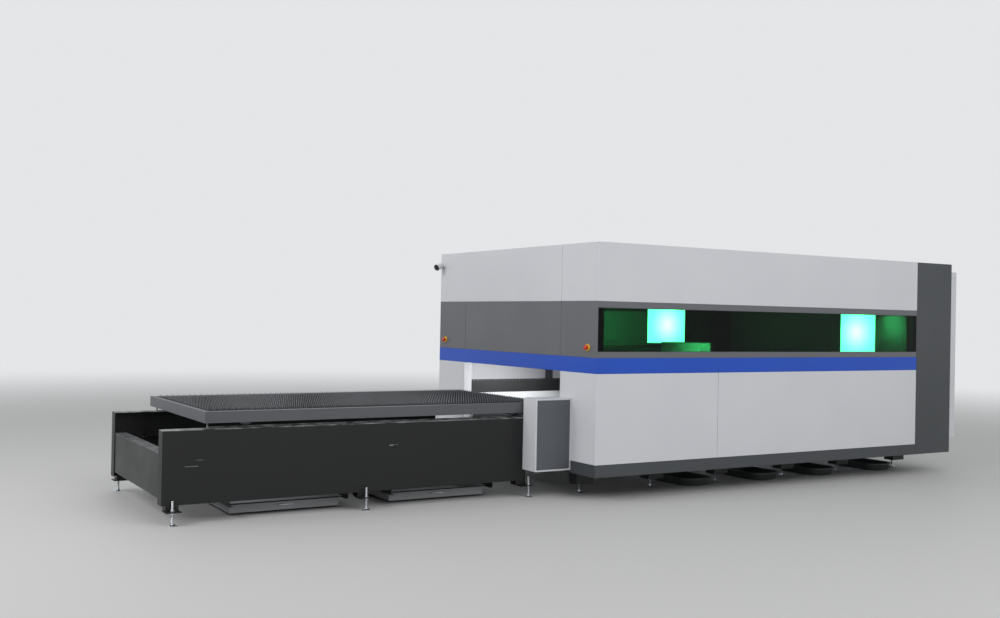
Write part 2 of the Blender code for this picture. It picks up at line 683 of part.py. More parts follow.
def bed_side(name, rear):
    """One side of the bed: beam, legs, sill, pallet ledges, gantry way with its guard, and feet."""
    tubes = [box_mesh((BED_START_X, BED_BEAM_FRONT_Y, BED_BEAM_BOTTOM),
                      (BED_BEAM_END_X, BED_INNER_Y, BED_BEAM_TOP)),
             box_mesh((BED_START_X, BED_SILL_FRONT_Y, BED_SILL_BOTTOM),
                      (BED_SILL_END_X, BED_INNER_Y, BED_SILL_TOP))]
    for rail_top in (RAIL_TOP, RAIL_TOP - LEVEL_DROP):
        tubes.append(box_mesh((BASE_RIGHT_X + SEAT_GAP, BED_INNER_Y - OVERRUN / 10, rail_top - LEDGE_HEIGHT),
                              (BED_LEDGE_END_X, RAIL_INNER_Y, rail_top)))
    sunk = BED_BEAM_TOP - OVERRUN
    way_near, way_far = WAY_RAIL_Y - WAY_RAIL_WIDTH / 2, WAY_RAIL_Y + WAY_RAIL_WIDTH / 2
    tubes.append(box_mesh((BED_START_X, GUARD_Y - SHEET, sunk), (BED_BEAM_END_X, GUARD_Y, GUARD_TOP)))
    tubes.append(box_mesh((WAY_RAIL_START_X, way_near, sunk),
                          (BED_BEAM_END_X, way_far, BED_BEAM_TOP + WAY_RAIL_HEIGHT)))
    tubes.append(box_mesh((WAY_RAIL_START_X, way_near - RACK_WIDTH, sunk),
                          (BED_BEAM_END_X, way_near + RACK_SEAT, BED_BEAM_TOP + RACK_HEIGHT)))
    for x in BED_FOOT_X:
        if x < BED_BEAM_END_X:
            tubes.append(box_mesh((x - BED_LEG_LENGTH / 2, BED_SILL_FRONT_Y, BED_SILL_TOP - OVERRUN),
                                  (x + BED_LEG_LENGTH / 2, BED_INNER_Y, BED_BEAM_BOTTOM + OVERRUN)))
        tubes.append(box_mesh((x - BED_FOOT_BLOCK_LENGTH / 2, BED_SILL_FRONT_Y, BED_FOOT_BLOCK_BOTTOM),
                              (x + BED_FOOT_BLOCK_LENGTH / 2, BED_SILL_FRONT_Y + BED_FOOT_BLOCK_WIDTH,
                               BED_SILL_BOTTOM + OVERRUN)))
        tubes += foot_meshes(x, BED_FOOT_Y, BED_FOOT_BLOCK_BOTTOM + OVERRUN, BED_FOOT_BLOCK_BOTTOM, None)
    if rear:
        tubes = [mirrored(tube) for tube in tubes]
        near = BED_INNER_Y + SEAT_GAP
        for x in BED_FOOT_X:
            tubes.append(box_mesh((x - BED_CROSS_LENGTH / 2, near, BED_SILL_BOTTOM),
                                  (x + BED_CROSS_LENGTH / 2, rear_y(BED_INNER_Y - OVERRUN),
                                   BED_SILL_BOTTOM + BED_CROSS_HEIGHT)))
    piece(name, tubes[0], WHITE_PAINT, joined=tubes[1:])


def gantry():
    beam = box_mesh((GANTRY_X - GANTRY_HALF_LENGTH, GANTRY_END_Y, GANTRY_BOTTOM),
                    (GANTRY_X + GANTRY_HALF_LENGTH, rear_y(GANTRY_END_Y), GANTRY_TOP))
    shoe = box_mesh((GANTRY_X - GANTRY_SHOE_HALF_LENGTH, GANTRY_END_Y, GANTRY_SHOE_BOTTOM),
                    (GANTRY_X + GANTRY_SHOE_HALF_LENGTH, GANTRY_END_Y + GANTRY_SHOE_WIDTH,
                     GANTRY_BOTTOM + OVERRUN))
    rail_back = GANTRY_X - GANTRY_HALF_LENGTH + OVERRUN
    rails = [box_mesh((CROSS_RAIL_X, CROSS_RAIL_END_Y, z - CROSS_RAIL_HEIGHT / 2),
                      (rail_back, rear_y(CROSS_RAIL_END_Y), z + CROSS_RAIL_HEIGHT / 2))
             for z in CROSS_RAIL_Z]
    piece("gantry_beam", beam, GREY_PAINT, joined=[shoe, mirrored(shoe)] + rails)

    plate_low, plate_high = CARRIAGE_Y - CARRIAGE_PLATE_HALF_WIDTH, CARRIAGE_Y + CARRIAGE_PLATE_HALF_WIDTH
    plate = box_mesh((COVER_BACK_X - SHEET / 2, plate_low, CARRIAGE_PLATE_BOTTOM),
                     (CARRIAGE_BACK_X, plate_high, CARRIAGE_PLATE_TOP))
    cover = pan_mesh((COVER_BACK_X - COVER_DEPTH, CARRIAGE_Y - COVER_HALF_WIDTH, COVER_BOTTOM),
                     (COVER_BACK_X, CARRIAGE_Y + COVER_HALF_WIDTH, COVER_TOP), "-Z")
    piece("carriage_cover", cover, WHITE_PAINT, joined=[plate],
          cut=[box_mesh((COVER_BACK_X - SHEET - OVERRUN, plate_low, CARRIAGE_PLATE_BOTTOM - OVERRUN),
                        (COVER_BACK_X - SHEET, plate_high, COVER_BOTTOM))])
    piece("z_slide", box_mesh((Z_SLIDE_BACK_X - Z_SLIDE_DEPTH, CARRIAGE_Y - Z_SLIDE_HALF_WIDTH,
                               Z_SLIDE_BOTTOM),
                              (Z_SLIDE_BACK_X, CARRIAGE_Y + Z_SLIDE_HALF_WIDTH, Z_SLIDE_TOP)), RAIL_STEEL)
    body = box_mesh((HEAD_BACK_X - HEAD_BODY_DEPTH, CARRIAGE_Y - HEAD_BODY_HALF_WIDTH, HEAD_BODY_BOTTOM),
                    (HEAD_BACK_X, CARRIAGE_Y + HEAD_BODY_HALF_WIDTH, HEAD_BODY_TOP))
    down = Matrix.Rotation(math.pi, 4, "X")
    barrel = round_mesh(down, (HEAD_X, CARRIAGE_Y, HEAD_BODY_BOTTOM + OVERRUN),
                        HEAD_BODY_BOTTOM + OVERRUN - HEAD_BARREL_BOTTOM, HEAD_BARREL_RADIUS, HEAD_SIDES)
    cone = round_mesh(down, (HEAD_X, CARRIAGE_Y, HEAD_BARREL_BOTTOM + SHEET), HEAD_BARREL_BOTTOM + SHEET
                      - HEAD_CONE_BOTTOM, HEAD_BARREL_RADIUS - SHEET, HEAD_SIDES, HEAD_CONE_END_RADIUS)
    nozzle = round_mesh(down, (HEAD_X, CARRIAGE_Y, HEAD_CONE_BOTTOM + SHEET), HEAD_CONE_BOTTOM + SHEET
                        - NOZZLE_BOTTOM, NOZZLE_RADIUS, HEAD_SIDES, NOZZLE_RADIUS / 2)
    piece("cutting_head", body, DARK_PAINT, joined=[barrel, cone, nozzle])


def lamps():
    seat = rear_y(FRAME_SET + TUBE + SEAT_GAP)
    piece("rear_lamp", box_mesh((REAR_LAMP_LEFT_X, seat - LAMP_DEPTH, REAR_LAMP_BOTTOM),
                                (REAR_LAMP_RIGHT_X, seat, REAR_LAMP_TOP)), LAMP_WHITE)
    wall = TAIL_WALL_X - SEAT_GAP
    piece("tail_lamp", box_mesh((wall - LAMP_DEPTH, TAIL_LAMP_FRONT_Y, TAIL_LAMP_BOTTOM),
                                (wall, TAIL_LAMP_REAR_Y, TAIL_LAMP_TOP)), LAMP_WHITE)


def base_side(name, rear):
    """A side of the table base: folded plate, rails, legs, foot pads and levelling feet."""
    y = BASE_FRONT_Y
    section = [(y, BASE_BOTTOM), (y + BASE_LOWER_FLANGE, BASE_BOTTOM),
               (y + BASE_LOWER_FLANGE, BASE_BOTTOM + BASE_PLATE), (BASE_INNER_Y, BASE_BOTTOM + BASE_PLATE),
               (BASE_INNER_Y, BASE_TOP - BASE_PLATE), (y + BASE_FLANGE, BASE_TOP - BASE_PLATE),
               (y + BASE_FLANGE, BASE_TOP), (y, BASE_TOP)]
    plate = outline_mesh(section, "YZ", BASE_LEFT_X, BASE_RIGHT_X)
    extra = [box_mesh((BASE_LEFT_X, y, BASE_BOTTOM), (BASE_LEFT_X + BASE_PLATE, y + BASE_FLANGE, BASE_TOP)),
             box_mesh((RAIL_STOP_X, RAIL_INNER_Y - RAIL_WIDTH, BASE_TOP - OVERRUN / 10),
                      (BASE_RIGHT_X, RAIL_INNER_Y, RAIL_TOP)),
             box_mesh((RAIL_STOP_X - RAIL_STOP_LENGTH, RAIL_INNER_Y - RAIL_WIDTH, BASE_TOP - OVERRUN / 10),
                      (RAIL_STOP_X, RAIL_INNER_Y, RAIL_STOP_TOP)),
             box_mesh((LOWER_RAIL_START_X, BASE_INNER_Y - OVERRUN / 10, RAIL_TOP - LEVEL_DROP - LEDGE_HEIGHT),
                      (BASE_RIGHT_X, RAIL_INNER_Y, RAIL_TOP - LEVEL_DROP))]
    pad_bottom = BASE_LEG_BOTTOM - BASE_PAD_HEIGHT
    for leg_x, stud_x in zip(BASE_LEG_X, BASE_STUD_X):
        extra.append(box_mesh((leg_x - BASE_LEG_LENGTH / 2, y, BASE_LEG_BOTTOM - OVERRUN / 10),
                              (leg_x + BASE_LEG_LENGTH / 2, y + BASE_LEG_WIDTH,
                               BASE_BOTTOM + BASE_PLATE + OVERRUN / 10)))
        pad_x = (leg_x + stud_x) / 2
        pad_rear = BASE_PAD_FRONT_Y + BASE_PAD_DEPTH
        extra.append(box_mesh((pad_x - BASE_PAD_LENGTH / 2, BASE_PAD_FRONT_Y, pad_bottom),
                              (pad_x + BASE_PAD_LENGTH / 2, pad_rear, BASE_LEG_BOTTOM)))
        extra += foot_meshes(stud_x, BASE_STUD_Y, BASE_STUD_TOP, pad_bottom, BASE_LEG_BOTTOM)
    if rear:
        plate = mirrored(plate)
        extra = [mirrored(mesh) for mesh in extra]
    piece(name, plate, BLACK_PAINT, joined=extra)


def base_end_plate():
    left = BASE_LEFT_X + BASE_PLATE + SEAT_GAP
    inner = left + BASE_PLATE
    reach = left + END_PLATE_FLANGE
    section = [(left, END_PLATE_BOTTOM), (reach, END_PLATE_BOTTOM), (reach, END_PLATE_BOTTOM + BASE_PLATE),
               (inner, END_PLATE_BOTTOM + BASE_PLATE), (inner, END_PLATE_TOP - BASE_PLATE),
               (reach, END_PLATE_TOP - BASE_PLATE), (reach, END_PLATE_TOP), (left, END_PLATE_TOP)]
    near = BASE_INNER_Y + SEAT_GAP
    piece("base_end_plate", outline_mesh(section, "XZ", near, rear_y(near)), BLACK_PAINT)


def runner_meshes(side_x, direction):
    """A cross tube with the hanging angle that carries one lip of a tray."""
    near = BASE_INNER_Y + SEAT_GAP
    lip_bottom = TRAY_TOP - SHEET - SEAT_GAP
    wall_x = side_x + direction * (TRAY_LIP + SHEET)
    low_x, high_x = sorted((wall_x, wall_x + direction * BASE_CROSS_WIDTH))
    tube = box_mesh((low_x, near, BASE_CROSS_BOTTOM), (high_x, rear_y(near), BASE_CROSS_TOP))
    low_x, high_x = sorted((wall_x, wall_x + direction * RUNNER_THICKNESS))
    hanger = box_mesh((low_x, RUNNER_START_Y, lip_bottom - RUNNER_THICKNESS),
                      (high_x, RUNNER_END_Y, BASE_CROSS_BOTTOM + OVERRUN / 10))
    low_x, high_x = sorted((wall_x + direction * RUNNER_THICKNESS, wall_x - direction * RUNNER_LEDGE))
    ledge = box_mesh((low_x, RUNNER_START_Y, lip_bottom - RUNNER_THICKNESS),
                     (high_x, RUNNER_END_Y, lip_bottom))
    return [tube, hanger, ledge]


def base_cross_frame():
    bars = []
    for centre in TRAY_CENTRE_X:
        bars += runner_meshes(centre - TRAY_HALF_WIDTH, -1)
        bars += runner_meshes(centre + TRAY_HALF_WIDTH, 1)
    spine = box_mesh((TRAY_CENTRE_X[0] - TRAY_HALF_WIDTH - TRAY_LIP - BASE_CROSS_WIDTH,
                      MID_Y - BASE_CROSS_WIDTH / 2, BASE_CROSS_BOTTOM),
                     (TRAY_CENTRE_X[1] + TRAY_HALF_WIDTH + TRAY_LIP + BASE_CROSS_WIDTH,
                      MID_Y + BASE_CROSS_WIDTH / 2, BASE_CROSS_TOP))
    piece("base_cross_frame", spine, BLACK_PAINT, joined=bars)


def scrap_tray(name, centre):
    left, right = centre - TRAY_HALF_WIDTH, centre + TRAY_HALF_WIDTH
    rear = TRAY_FRONT_Y + TRAY_DEPTH
    shell = pan_mesh((left, TRAY_FRONT_Y, TRAY_BOTTOM), (right, rear, TRAY_TOP), "+Z")
    lips = [box_mesh((left - TRAY_LIP, TRAY_FRONT_Y, TRAY_TOP - SHEET), (left + SHEET / 2, rear, TRAY_TOP)),
            box_mesh((right - SHEET / 2, TRAY_FRONT_Y, TRAY_TOP - SHEET), (right + TRAY_LIP, rear, TRAY_TOP))]
    grip_y = TRAY_FRONT_Y - HANDLE_REACH
    low, high = HANDLE_CENTRE_Z - HANDLE_BAR / 2, HANDLE_CENTRE_Z + HANDLE_BAR / 2
    handle = [box_mesh((centre - HANDLE_HALF_WIDTH, grip_y, low),
                       (centre + HANDLE_HALF_WIDTH, grip_y + HANDLE_BAR, high))]
    for x in (centre - HANDLE_HALF_WIDTH, centre + HANDLE_HALF_WIDTH - HANDLE_BAR):
        handle.append(box_mesh((x, grip_y + HANDLE_BAR / 2, low),
                               (x + HANDLE_BAR, TRAY_FRONT_Y + SHEET / 2, high)))
    piece(name, shell, TRAY_STEEL, joined=lips + handle)


def pallet_frame(name, drop, travel):
    move = (travel, 0, -drop)
    left, right = PALLET_LEFT_X, PALLET_RIGHT_X
    side = box_mesh((left, PALLET_FRONT_Y, PALLET_BOTTOM), (right, PALLET_INNER_Y, PALLET_TOP))
    bars = [mirrored(side)]
    for x in (left, right - PALLET_END_WIDTH):
        bars.append(box_mesh((x, PALLET_FRONT_Y, PALLET_BOTTOM),
                             (x + PALLET_END_WIDTH, rear_y(PALLET_FRONT_Y), PALLET_TOP)))
    for share in PALLET_CROSS_SHARES:
        x = left + share * (right - left)
        bars.append(box_mesh((x - PALLET_CROSS_WIDTH / 2, PALLET_INNER_Y - OVERRUN, PALLET_BOTTOM),
                             (x + PALLET_CROSS_WIDTH / 2, rear_y(PALLET_INNER_Y - OVERRUN),
                              PALLET_BOTTOM + PALLET_CROSS_HEIGHT)))
    for x in LUG_X:
        lug = box_mesh((x - LUG_LENGTH / 2, PALLET_FRONT_Y - LUG_DEPTH, PALLET_BOTTOM + LUG_RISE),
                       (x + LUG_LENGTH / 2, PALLET_FRONT_Y + OVERRUN, PALLET_BOTTOM + LUG_RISE + LUG_HEIGHT))
        bars += [lug, mirrored(lug)]
    through = rear_y(PALLET_FRONT_Y) - PALLET_FRONT_Y + 2 * OVERRUN
    holes = [round_mesh("Y", (x, PALLET_FRONT_Y - OVERRUN, WHEEL_Z), through,
                        AXLE_RADIUS + SEAT_GAP * 2, AXLE_SIDES) for x in wheelset_places()]
    piece(name, shifted(side, move), PALLET_PAINT, joined=[shifted(bar, move) for bar in bars],
          cut=[shifted(hole, move) for hole in holes])


def wheelset_places():
    return PALLET_LEFT_X + WHEELSET_INSET, PALLET_RIGHT_X - WHEELSET_INSET


def wheelset(name, x, drop, travel):
    centre = Vector((x + travel, 0, WHEEL_Z - drop))
    end_y = PALLET_FRONT_Y - LUG_DEPTH
    axle = round_mesh("Y", centre + Vector((0, end_y, 0)), rear_y(end_y) - end_y, AXLE_RADIUS, AXLE_SIDES)
    wheel = round_mesh("Y", centre + Vector((0, WHEEL_FRONT_Y, 0)), WHEEL_WIDTH, WHEEL_RADIUS, WHEEL_SIDES)
    piece(name, axle, RAIL_STEEL, pivot=centre + Vector((0, MID_Y, 0)), joined=[wheel, mirrored(wheel)])


def slat_outline(front, teeth):
    """Seen along X: a flat bar, its top edge sawn into equal pointed teeth."""
    rear = rear_y(front)
    bottom, top = SLAT_BOTTOM, SLAT_BOTTOM + SLAT_HEIGHT
    points = [(front, bottom), (rear, bottom)]
    if teeth == 0:
        return points + [(rear, top - TOOTH_HEIGHT / 2), (front, top - TOOTH_HEIGHT / 2)]
    pitch = (rear - front) / teeth
    points.append((rear, top - TOOTH_HEIGHT))
    for tooth in range(teeth, 0, -1):
        points.append((front + (tooth - 0.5) * pitch, top))
        points.append((front + (tooth - 1) * pitch, top - TOOTH_HEIGHT))
    return points


def slat_grid(name, teeth, drop, travel):
    """All slats of one pallet, held upright in a comb plate at each end."""
    comb_y = PALLET_FRONT_Y + COMB_INSET
    left = PALLET_LEFT_X + PALLET_END_WIDTH + SEAT_GAP
    right = PALLET_RIGHT_X - PALLET_END_WIDTH - SEAT_GAP
    comb_bottom = SLAT_BOTTOM - SLAT_LIFT
    comb = box_mesh((left, comb_y, comb_bottom), (right, comb_y + COMB_THICKNESS, comb_bottom + COMB_HEIGHT))
    room = right - left - 2 * SLAT_END_CLEARANCE
    gaps = int(room / SLAT_PITCH)
    blade = outline_mesh(slat_outline(comb_y + COMB_THICKNESS / 2, teeth), "YZ",
                         -SLAT_THICKNESS / 2, SLAT_THICKNESS / 2)
    first = (left + right - gaps * SLAT_PITCH) / 2
    slats = [shifted(blade, (first + step * SLAT_PITCH + travel, 0, -drop)) for step in range(gaps + 1)]
    move = (travel, 0, -drop)
    piece(name, shifted(comb, move), SLAT_STEEL, joined=[shifted(mirrored(comb), move)] + slats)


def pallets():
    for level, teeth, drop, travel in (("upper", UPPER_TEETH, 0, 0),
                                       ("lower", LOWER_TEETH, LEVEL_DROP, PALLET_TRAVEL)):
        pallet_frame(level + "_pallet_frame", drop, travel)
        slat_grid(level + "_slat_grid", teeth, drop, travel)
        for side, x in zip(("left", "right"), wheelset_places()):
            wheelset(level + "_wheelset_" + side, x, drop, travel)


def drive_box():
    left, right = -DRIVE_BOX_LENGTH, -SEAT_GAP
    rear = BASE_FRONT_Y - SEAT_GAP
    case = box_mesh((left, DRIVE_BOX_FRONT_Y, DRIVE_BOX_BOTTOM), (right, rear, DRIVE_BOX_TOP))
    hollow = box_mesh((left + SHEET, DRIVE_BOX_FRONT_Y + SHEET, DRIVE_BOX_BOTTOM + SHEET),
                      (right - SHEET, rear - SHEET, DRIVE_BOX_TOP - SHEET))
    border = DRIVE_DOOR_BORDER
    mouth = box_mesh((left + border, DRIVE_BOX_FRONT_Y - OVERRUN, DRIVE_BOX_BOTTOM + border),
                     (right - border, DRIVE_BOX_FRONT_Y + SHEET + OVERRUN / 10, DRIVE_BOX_TOP - border))
    box = piece("drive_box", case, WHITE_PAINT, cut=[hollow, mouth])
    middle = (left + right) / 2
    motor_top = MOTOR_BOTTOM + MOTOR_LENGTH
    gearbox = box_mesh((middle - GEARBOX_HALF_WIDTH, rear - SHEET - GEARBOX_DEPTH, motor_top),
                       (middle + GEARBOX_HALF_WIDTH, rear - SHEET / 2, motor_top + GEARBOX_HEIGHT))
    motor = round_mesh("Z", (middle, rear - SHEET - GEARBOX_DEPTH / 2, MOTOR_BOTTOM),
                       MOTOR_LENGTH + OVERRUN / 10, MOTOR_RADIUS, MOTOR_SIDES)
    combine(box, [gearbox, motor], "UNION")

    gap = border + DRIVE_DOOR_GAP
    front = DRIVE_BOX_FRONT_Y
    hinge_x = left + border + SEAT_GAP
    leaf = pan_mesh((hinge_x, front, DRIVE_BOX_BOTTOM + gap),
                    (right - gap, front + DRIVE_DOOR_THICKNESS, DRIVE_BOX_TOP - gap), "+Y")
    piece("drive_box_door", leaf, GREY_PAINT, pivot=(hinge_x, front, DRIVE_BOX_BOTTOM))


def rounded_outline(low, high, corner):
    points = []
    centres = ((high[0] - corner, low[1] + corner, -90), (high[0] - corner, high[1] - corner, 0),
               (low[0] + corner, high[1] - corner, 90), (low[0] + corner, low[1] + corner, 180))
    for centre_x, centre_y, start in centres:
        for step in range(BIN_CORNER_STEPS + 1):
            turn = math.radians(start + 90 * step / BIN_CORNER_STEPS)
            points.append((centre_x + corner * math.cos(turn), centre_y + corner * math.sin(turn)))
    return points


def bins():
    for number, x in enumerate(BIN_X, start=1):
        low = (x - BIN_LENGTH / 2, BIN_FRONT_Y)
        high = (x + BIN_LENGTH / 2, BIN_FRONT_Y + BIN_WIDTH)
        outer = outline_mesh(rounded_outline(low, high, BIN_CORNER), "XY", 0, BIN_HEIGHT)
        inner_low = (low[0] + BIN_WALL, low[1] + BIN_WALL)
        inner_high = (high[0] - BIN_WALL, high[1] - BIN_WALL)
        inner = outline_mesh(rounded_outline(inner_low, inner_high, BIN_CORNER - BIN_WALL), "XY", BIN_WALL,
                             BIN_HEIGHT + OVERRUN)
        piece("floor_bin_" + str(number), outer, BIN_PLASTIC, cut=[inner])


def tail_cabinet():
    front, rear = CABINET_FRONT_Y, CABINET_FRONT_Y + CABINET_WIDTH
    pan("tail_cabinet", (CABINET_FRONT_X, front, CABINET_BOTTOM),
        (CABINET_FRONT_X + CABINET_DEPTH, rear, CABINET_TOP), "+X", WHITE_PAINT)
    face = CABINET_DOOR_X + CABINET_DOOR_THICKNESS
    inset = CABINET_DOOR_INSET
    leaf = pan_mesh((CABINET_DOOR_X, front + inset, CABINET_BOTTOM + inset),
                    (face, rear - inset, CABINET_TOP - inset), "-X")
    grip_y = front + inset + CABINET_HANDLE_INSET
    grip = box_mesh((face - OVERRUN / 10, grip_y, CABINET_HANDLE_Z - CABINET_HANDLE_LENGTH / 2),
                    (face + CABINET_HANDLE_REACH, grip_y + CABINET_HANDLE_WIDTH,
                     CABINET_HANDLE_Z + CABINET_HANDLE_LENGTH / 2))
    piece("cabinet_door", leaf, WHITE_PAINT, pivot=(face, rear - inset, CABINET_BOTTOM), joined=[grip])


def bullet_camera():
    wall = Vector((0, CAMERA_BASE_Y, CAMERA_BASE_Z))
    out = Matrix.Rotation(-math.pi / 2, 4, "Y")
    base = round_mesh(out, wall - Vector((SEAT_GAP, 0, 0)), CAMERA_BASE_DEPTH, CAMERA_BASE_RADIUS,
                      CAMERA_SIDES)
    arm = round_mesh(out, wall - Vector((SEAT_GAP + CAMERA_BASE_DEPTH / 2, 0, 0)), CAMERA_ARM_LENGTH,
                     CAMERA_ARM_RADIUS, AXLE_SIDES)
    pan_turn = Matrix.Rotation(math.radians(CAMERA_PAN_DEG), 4, "Z")
    dip_turn = Matrix.Rotation(math.radians(-CAMERA_DIP_DEG), 4, "Y")
    aim = pan_turn @ dip_turn @ out
    knuckle = wall - Vector((SEAT_GAP + CAMERA_ARM_LENGTH, 0, 0))
    back = knuckle - aim.to_3x3() @ Vector((0, 0, CAMERA_BODY_LENGTH * CAMERA_BODY_BACK_SHARE))
    body = round_mesh(aim, back, CAMERA_BODY_LENGTH, CAMERA_BODY_RADIUS, CAMERA_SIDES)
    piece("bullet_camera", base, WHITE_PAINT, joined=[arm, body])


front_panels()
rear_panels()
skirt("front_skirt", False)
skirt("rear_skirt", True)
tail_panel("tail_front_panel", False)
tail_panel("tail_rear_panel", True)
end_panels()
estop_button("estop_button_front", ESTOP_Y)
estop_button("estop_button_rear", rear_y(ESTOP_Y))
roof()
tail_wall()
wall_frame("front_frame", False)
wall_frame("rear_frame", True)
end_frame()
bed_side("bed_side_front", False)
bed_side("bed_side_rear", True)
gantry()
lamps()
base_side("base_side_front", False)
base_side("base_side_rear", True)
base_end_plate()
base_cross_frame()
for tray_side, tray_x in zip(("left", "right"), TRAY_CENTRE_X):
    scrap_tray("scrap_tray_" + tray_side, tray_x)
pallets()
drive_box()
bins()
tail_cabinet()
bullet_camera()
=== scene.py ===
# %% [markdown]
# # Dressing a fiber laser cutting machine
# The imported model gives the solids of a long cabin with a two-level exchange table in
# front of it. This lesson gives each surface its finish, models the parts that the eye
# looks at closely, and sets a plain studio round it. Everything is in metres, in the
# same frame as the solids, so a piece is made right where it belongs.

# %% Load the frame
import json
import math

import bpy
from mathutils import Matrix, Vector


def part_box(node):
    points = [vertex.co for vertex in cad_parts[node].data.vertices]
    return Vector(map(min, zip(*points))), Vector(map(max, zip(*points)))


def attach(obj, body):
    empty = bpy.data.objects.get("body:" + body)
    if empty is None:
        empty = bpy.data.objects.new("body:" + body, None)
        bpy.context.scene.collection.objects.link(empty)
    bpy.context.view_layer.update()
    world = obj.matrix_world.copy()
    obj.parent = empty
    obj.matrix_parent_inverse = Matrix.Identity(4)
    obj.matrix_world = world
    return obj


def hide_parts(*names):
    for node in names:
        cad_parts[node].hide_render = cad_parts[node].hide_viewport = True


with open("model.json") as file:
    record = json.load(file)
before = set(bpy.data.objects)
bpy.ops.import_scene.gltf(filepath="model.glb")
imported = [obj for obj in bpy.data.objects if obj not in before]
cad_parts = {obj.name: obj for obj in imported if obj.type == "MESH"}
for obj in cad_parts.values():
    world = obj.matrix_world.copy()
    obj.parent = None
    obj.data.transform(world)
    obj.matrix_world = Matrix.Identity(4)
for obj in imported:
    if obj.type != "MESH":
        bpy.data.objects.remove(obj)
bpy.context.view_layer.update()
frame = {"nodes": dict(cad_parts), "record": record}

nodes = frame["nodes"]
scene = bpy.context.scene

# %% [markdown]
# ## Where things are
# The cabin's front left corner on the floor is the handiest place to measure from, as
# it is on the shop floor. The model's own origin lies under the middle of its box, so
# one vector turns corner measures into model places. The cabin is the same on both
# sides, so a front measure has its twin on the rear side.

# %% The cabin's corner
skin_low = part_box("front_upper_panel")[0]
CORNER = Vector((skin_low[0], skin_low[1], 0))
CABIN_WIDTH = -2 * skin_low[1]


def at(x, y, z):
    """A place measured from the cabin's front left corner on the floor."""
    return CORNER + Vector((x, y, z))


def both_sides(y):
    """A front measure and its twin on the rear side."""
    return y, CABIN_WIDTH - y


def corners_of(node):
    """The lowest and the highest corner of a solid's box."""
    return [Vector(corner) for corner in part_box(node)]


print("corner of the cabin:", CORNER, "width", round(CABIN_WIDTH, 3))

# %% [markdown]
# ## Camera
# The picture is taken standing, a few metres off the table's end, with a normal lens.
# Three turns describe it: yaw along the floor, a hair of pitch and one degree of roll.
# A matrix built from its three directions leaves no doubt about their order.

# %% Camera
CAMERA_PLACE = (-5.571, -7.519, 1.577)
CAMERA_YAW, CAMERA_PITCH, CAMERA_ROLL = 31.378, 0.460, 1.110
CAMERA_LENS = 39.06


def aim_camera():
    yaw, pitch, roll = (math.radians(turn) for turn in (CAMERA_YAW, CAMERA_PITCH, CAMERA_ROLL))
    level = Vector((math.sin(yaw), math.cos(yaw), 0))
    across = Vector((math.cos(yaw), -math.sin(yaw), 0))
    ahead = level * math.cos(pitch) + Vector((0, 0, math.sin(pitch)))
    above = Vector((0, 0, math.cos(pitch))) - level * math.sin(pitch)
    right = across * math.cos(roll) + above * math.sin(roll)
    top = above * math.cos(roll) - across * math.sin(roll)
    matrix = Matrix((right, top, -ahead)).transposed().to_4x4()
    matrix.translation = at(*CAMERA_PLACE)
    lens = bpy.data.cameras.new("camera")
    lens.lens = CAMERA_LENS
    lens.sensor_width = 36
    lens.clip_end = 200
    camera = bpy.data.objects.new("camera", lens)
    camera.matrix_world = matrix
    scene.collection.objects.link(camera)
    scene.camera = camera
    return camera


camera = aim_camera()
print("camera height:", round(camera.matrix_world.translation.z, 3))

# %% [markdown]
# ## Helpers for materials
# Colours are picked as sRGB hex values and turned to linear once, by one function. One
# more small function adds a shader node with its settings and its links, so that each
# finish below reads as a short recipe. Nearly every real finish has two patterns, and
# the last helper makes both: clouds, where the film or the scale is thicker, shift its
# colour and its sheen, and a fine skin breaks up its highlights. A noise texture's scale
# counts patches to the metre, so 7 makes clouds of 14 cm and 250 makes grains of 4 mm.

# %% Colour and node helpers


def linear(hex_colour):
    channels = [int(hex_colour[place:place + 2], 16) / 255 for place in (1, 3, 5)]
    return tuple(c / 12.92 if c <= 0.04045 else ((c + 0.055) / 1.055) ** 2.4 for c in channels) + (1,)


def add_node(tree, kind, settings=None, **sockets):
    """Adds one node. A socket given as a value is set, and one given as an output is linked."""
    made = tree.nodes.new(kind)
    for name, value in (settings or {}).items():
        setattr(made, name, value)
    for name, value in sockets.items():
        key = int(name[1:]) if name[0] == "i" and name[1:].isdigit() else name.replace("_", " ")
        if isinstance(value, bpy.types.NodeSocket):
            tree.links.new(value, made.inputs[key])
        else:
            made.inputs[key].default_value = value
    return made


def new_finish(name, colour, roughness, **shader_sockets):
    """A material with its Principled shader set, ready for patterns to be linked in."""
    material = bpy.data.materials.new(name)
    material.use_nodes = True
    tree = material.node_tree
    shader = tree.nodes["Principled BSDF"]
    shader.inputs["Base Color"].default_value = linear(colour)
    shader.inputs["Roughness"].default_value = roughness
    for socket, value in shader_sockets.items():
        shader.inputs[socket.replace("_", " ")].default_value = value
    return material, tree, shader


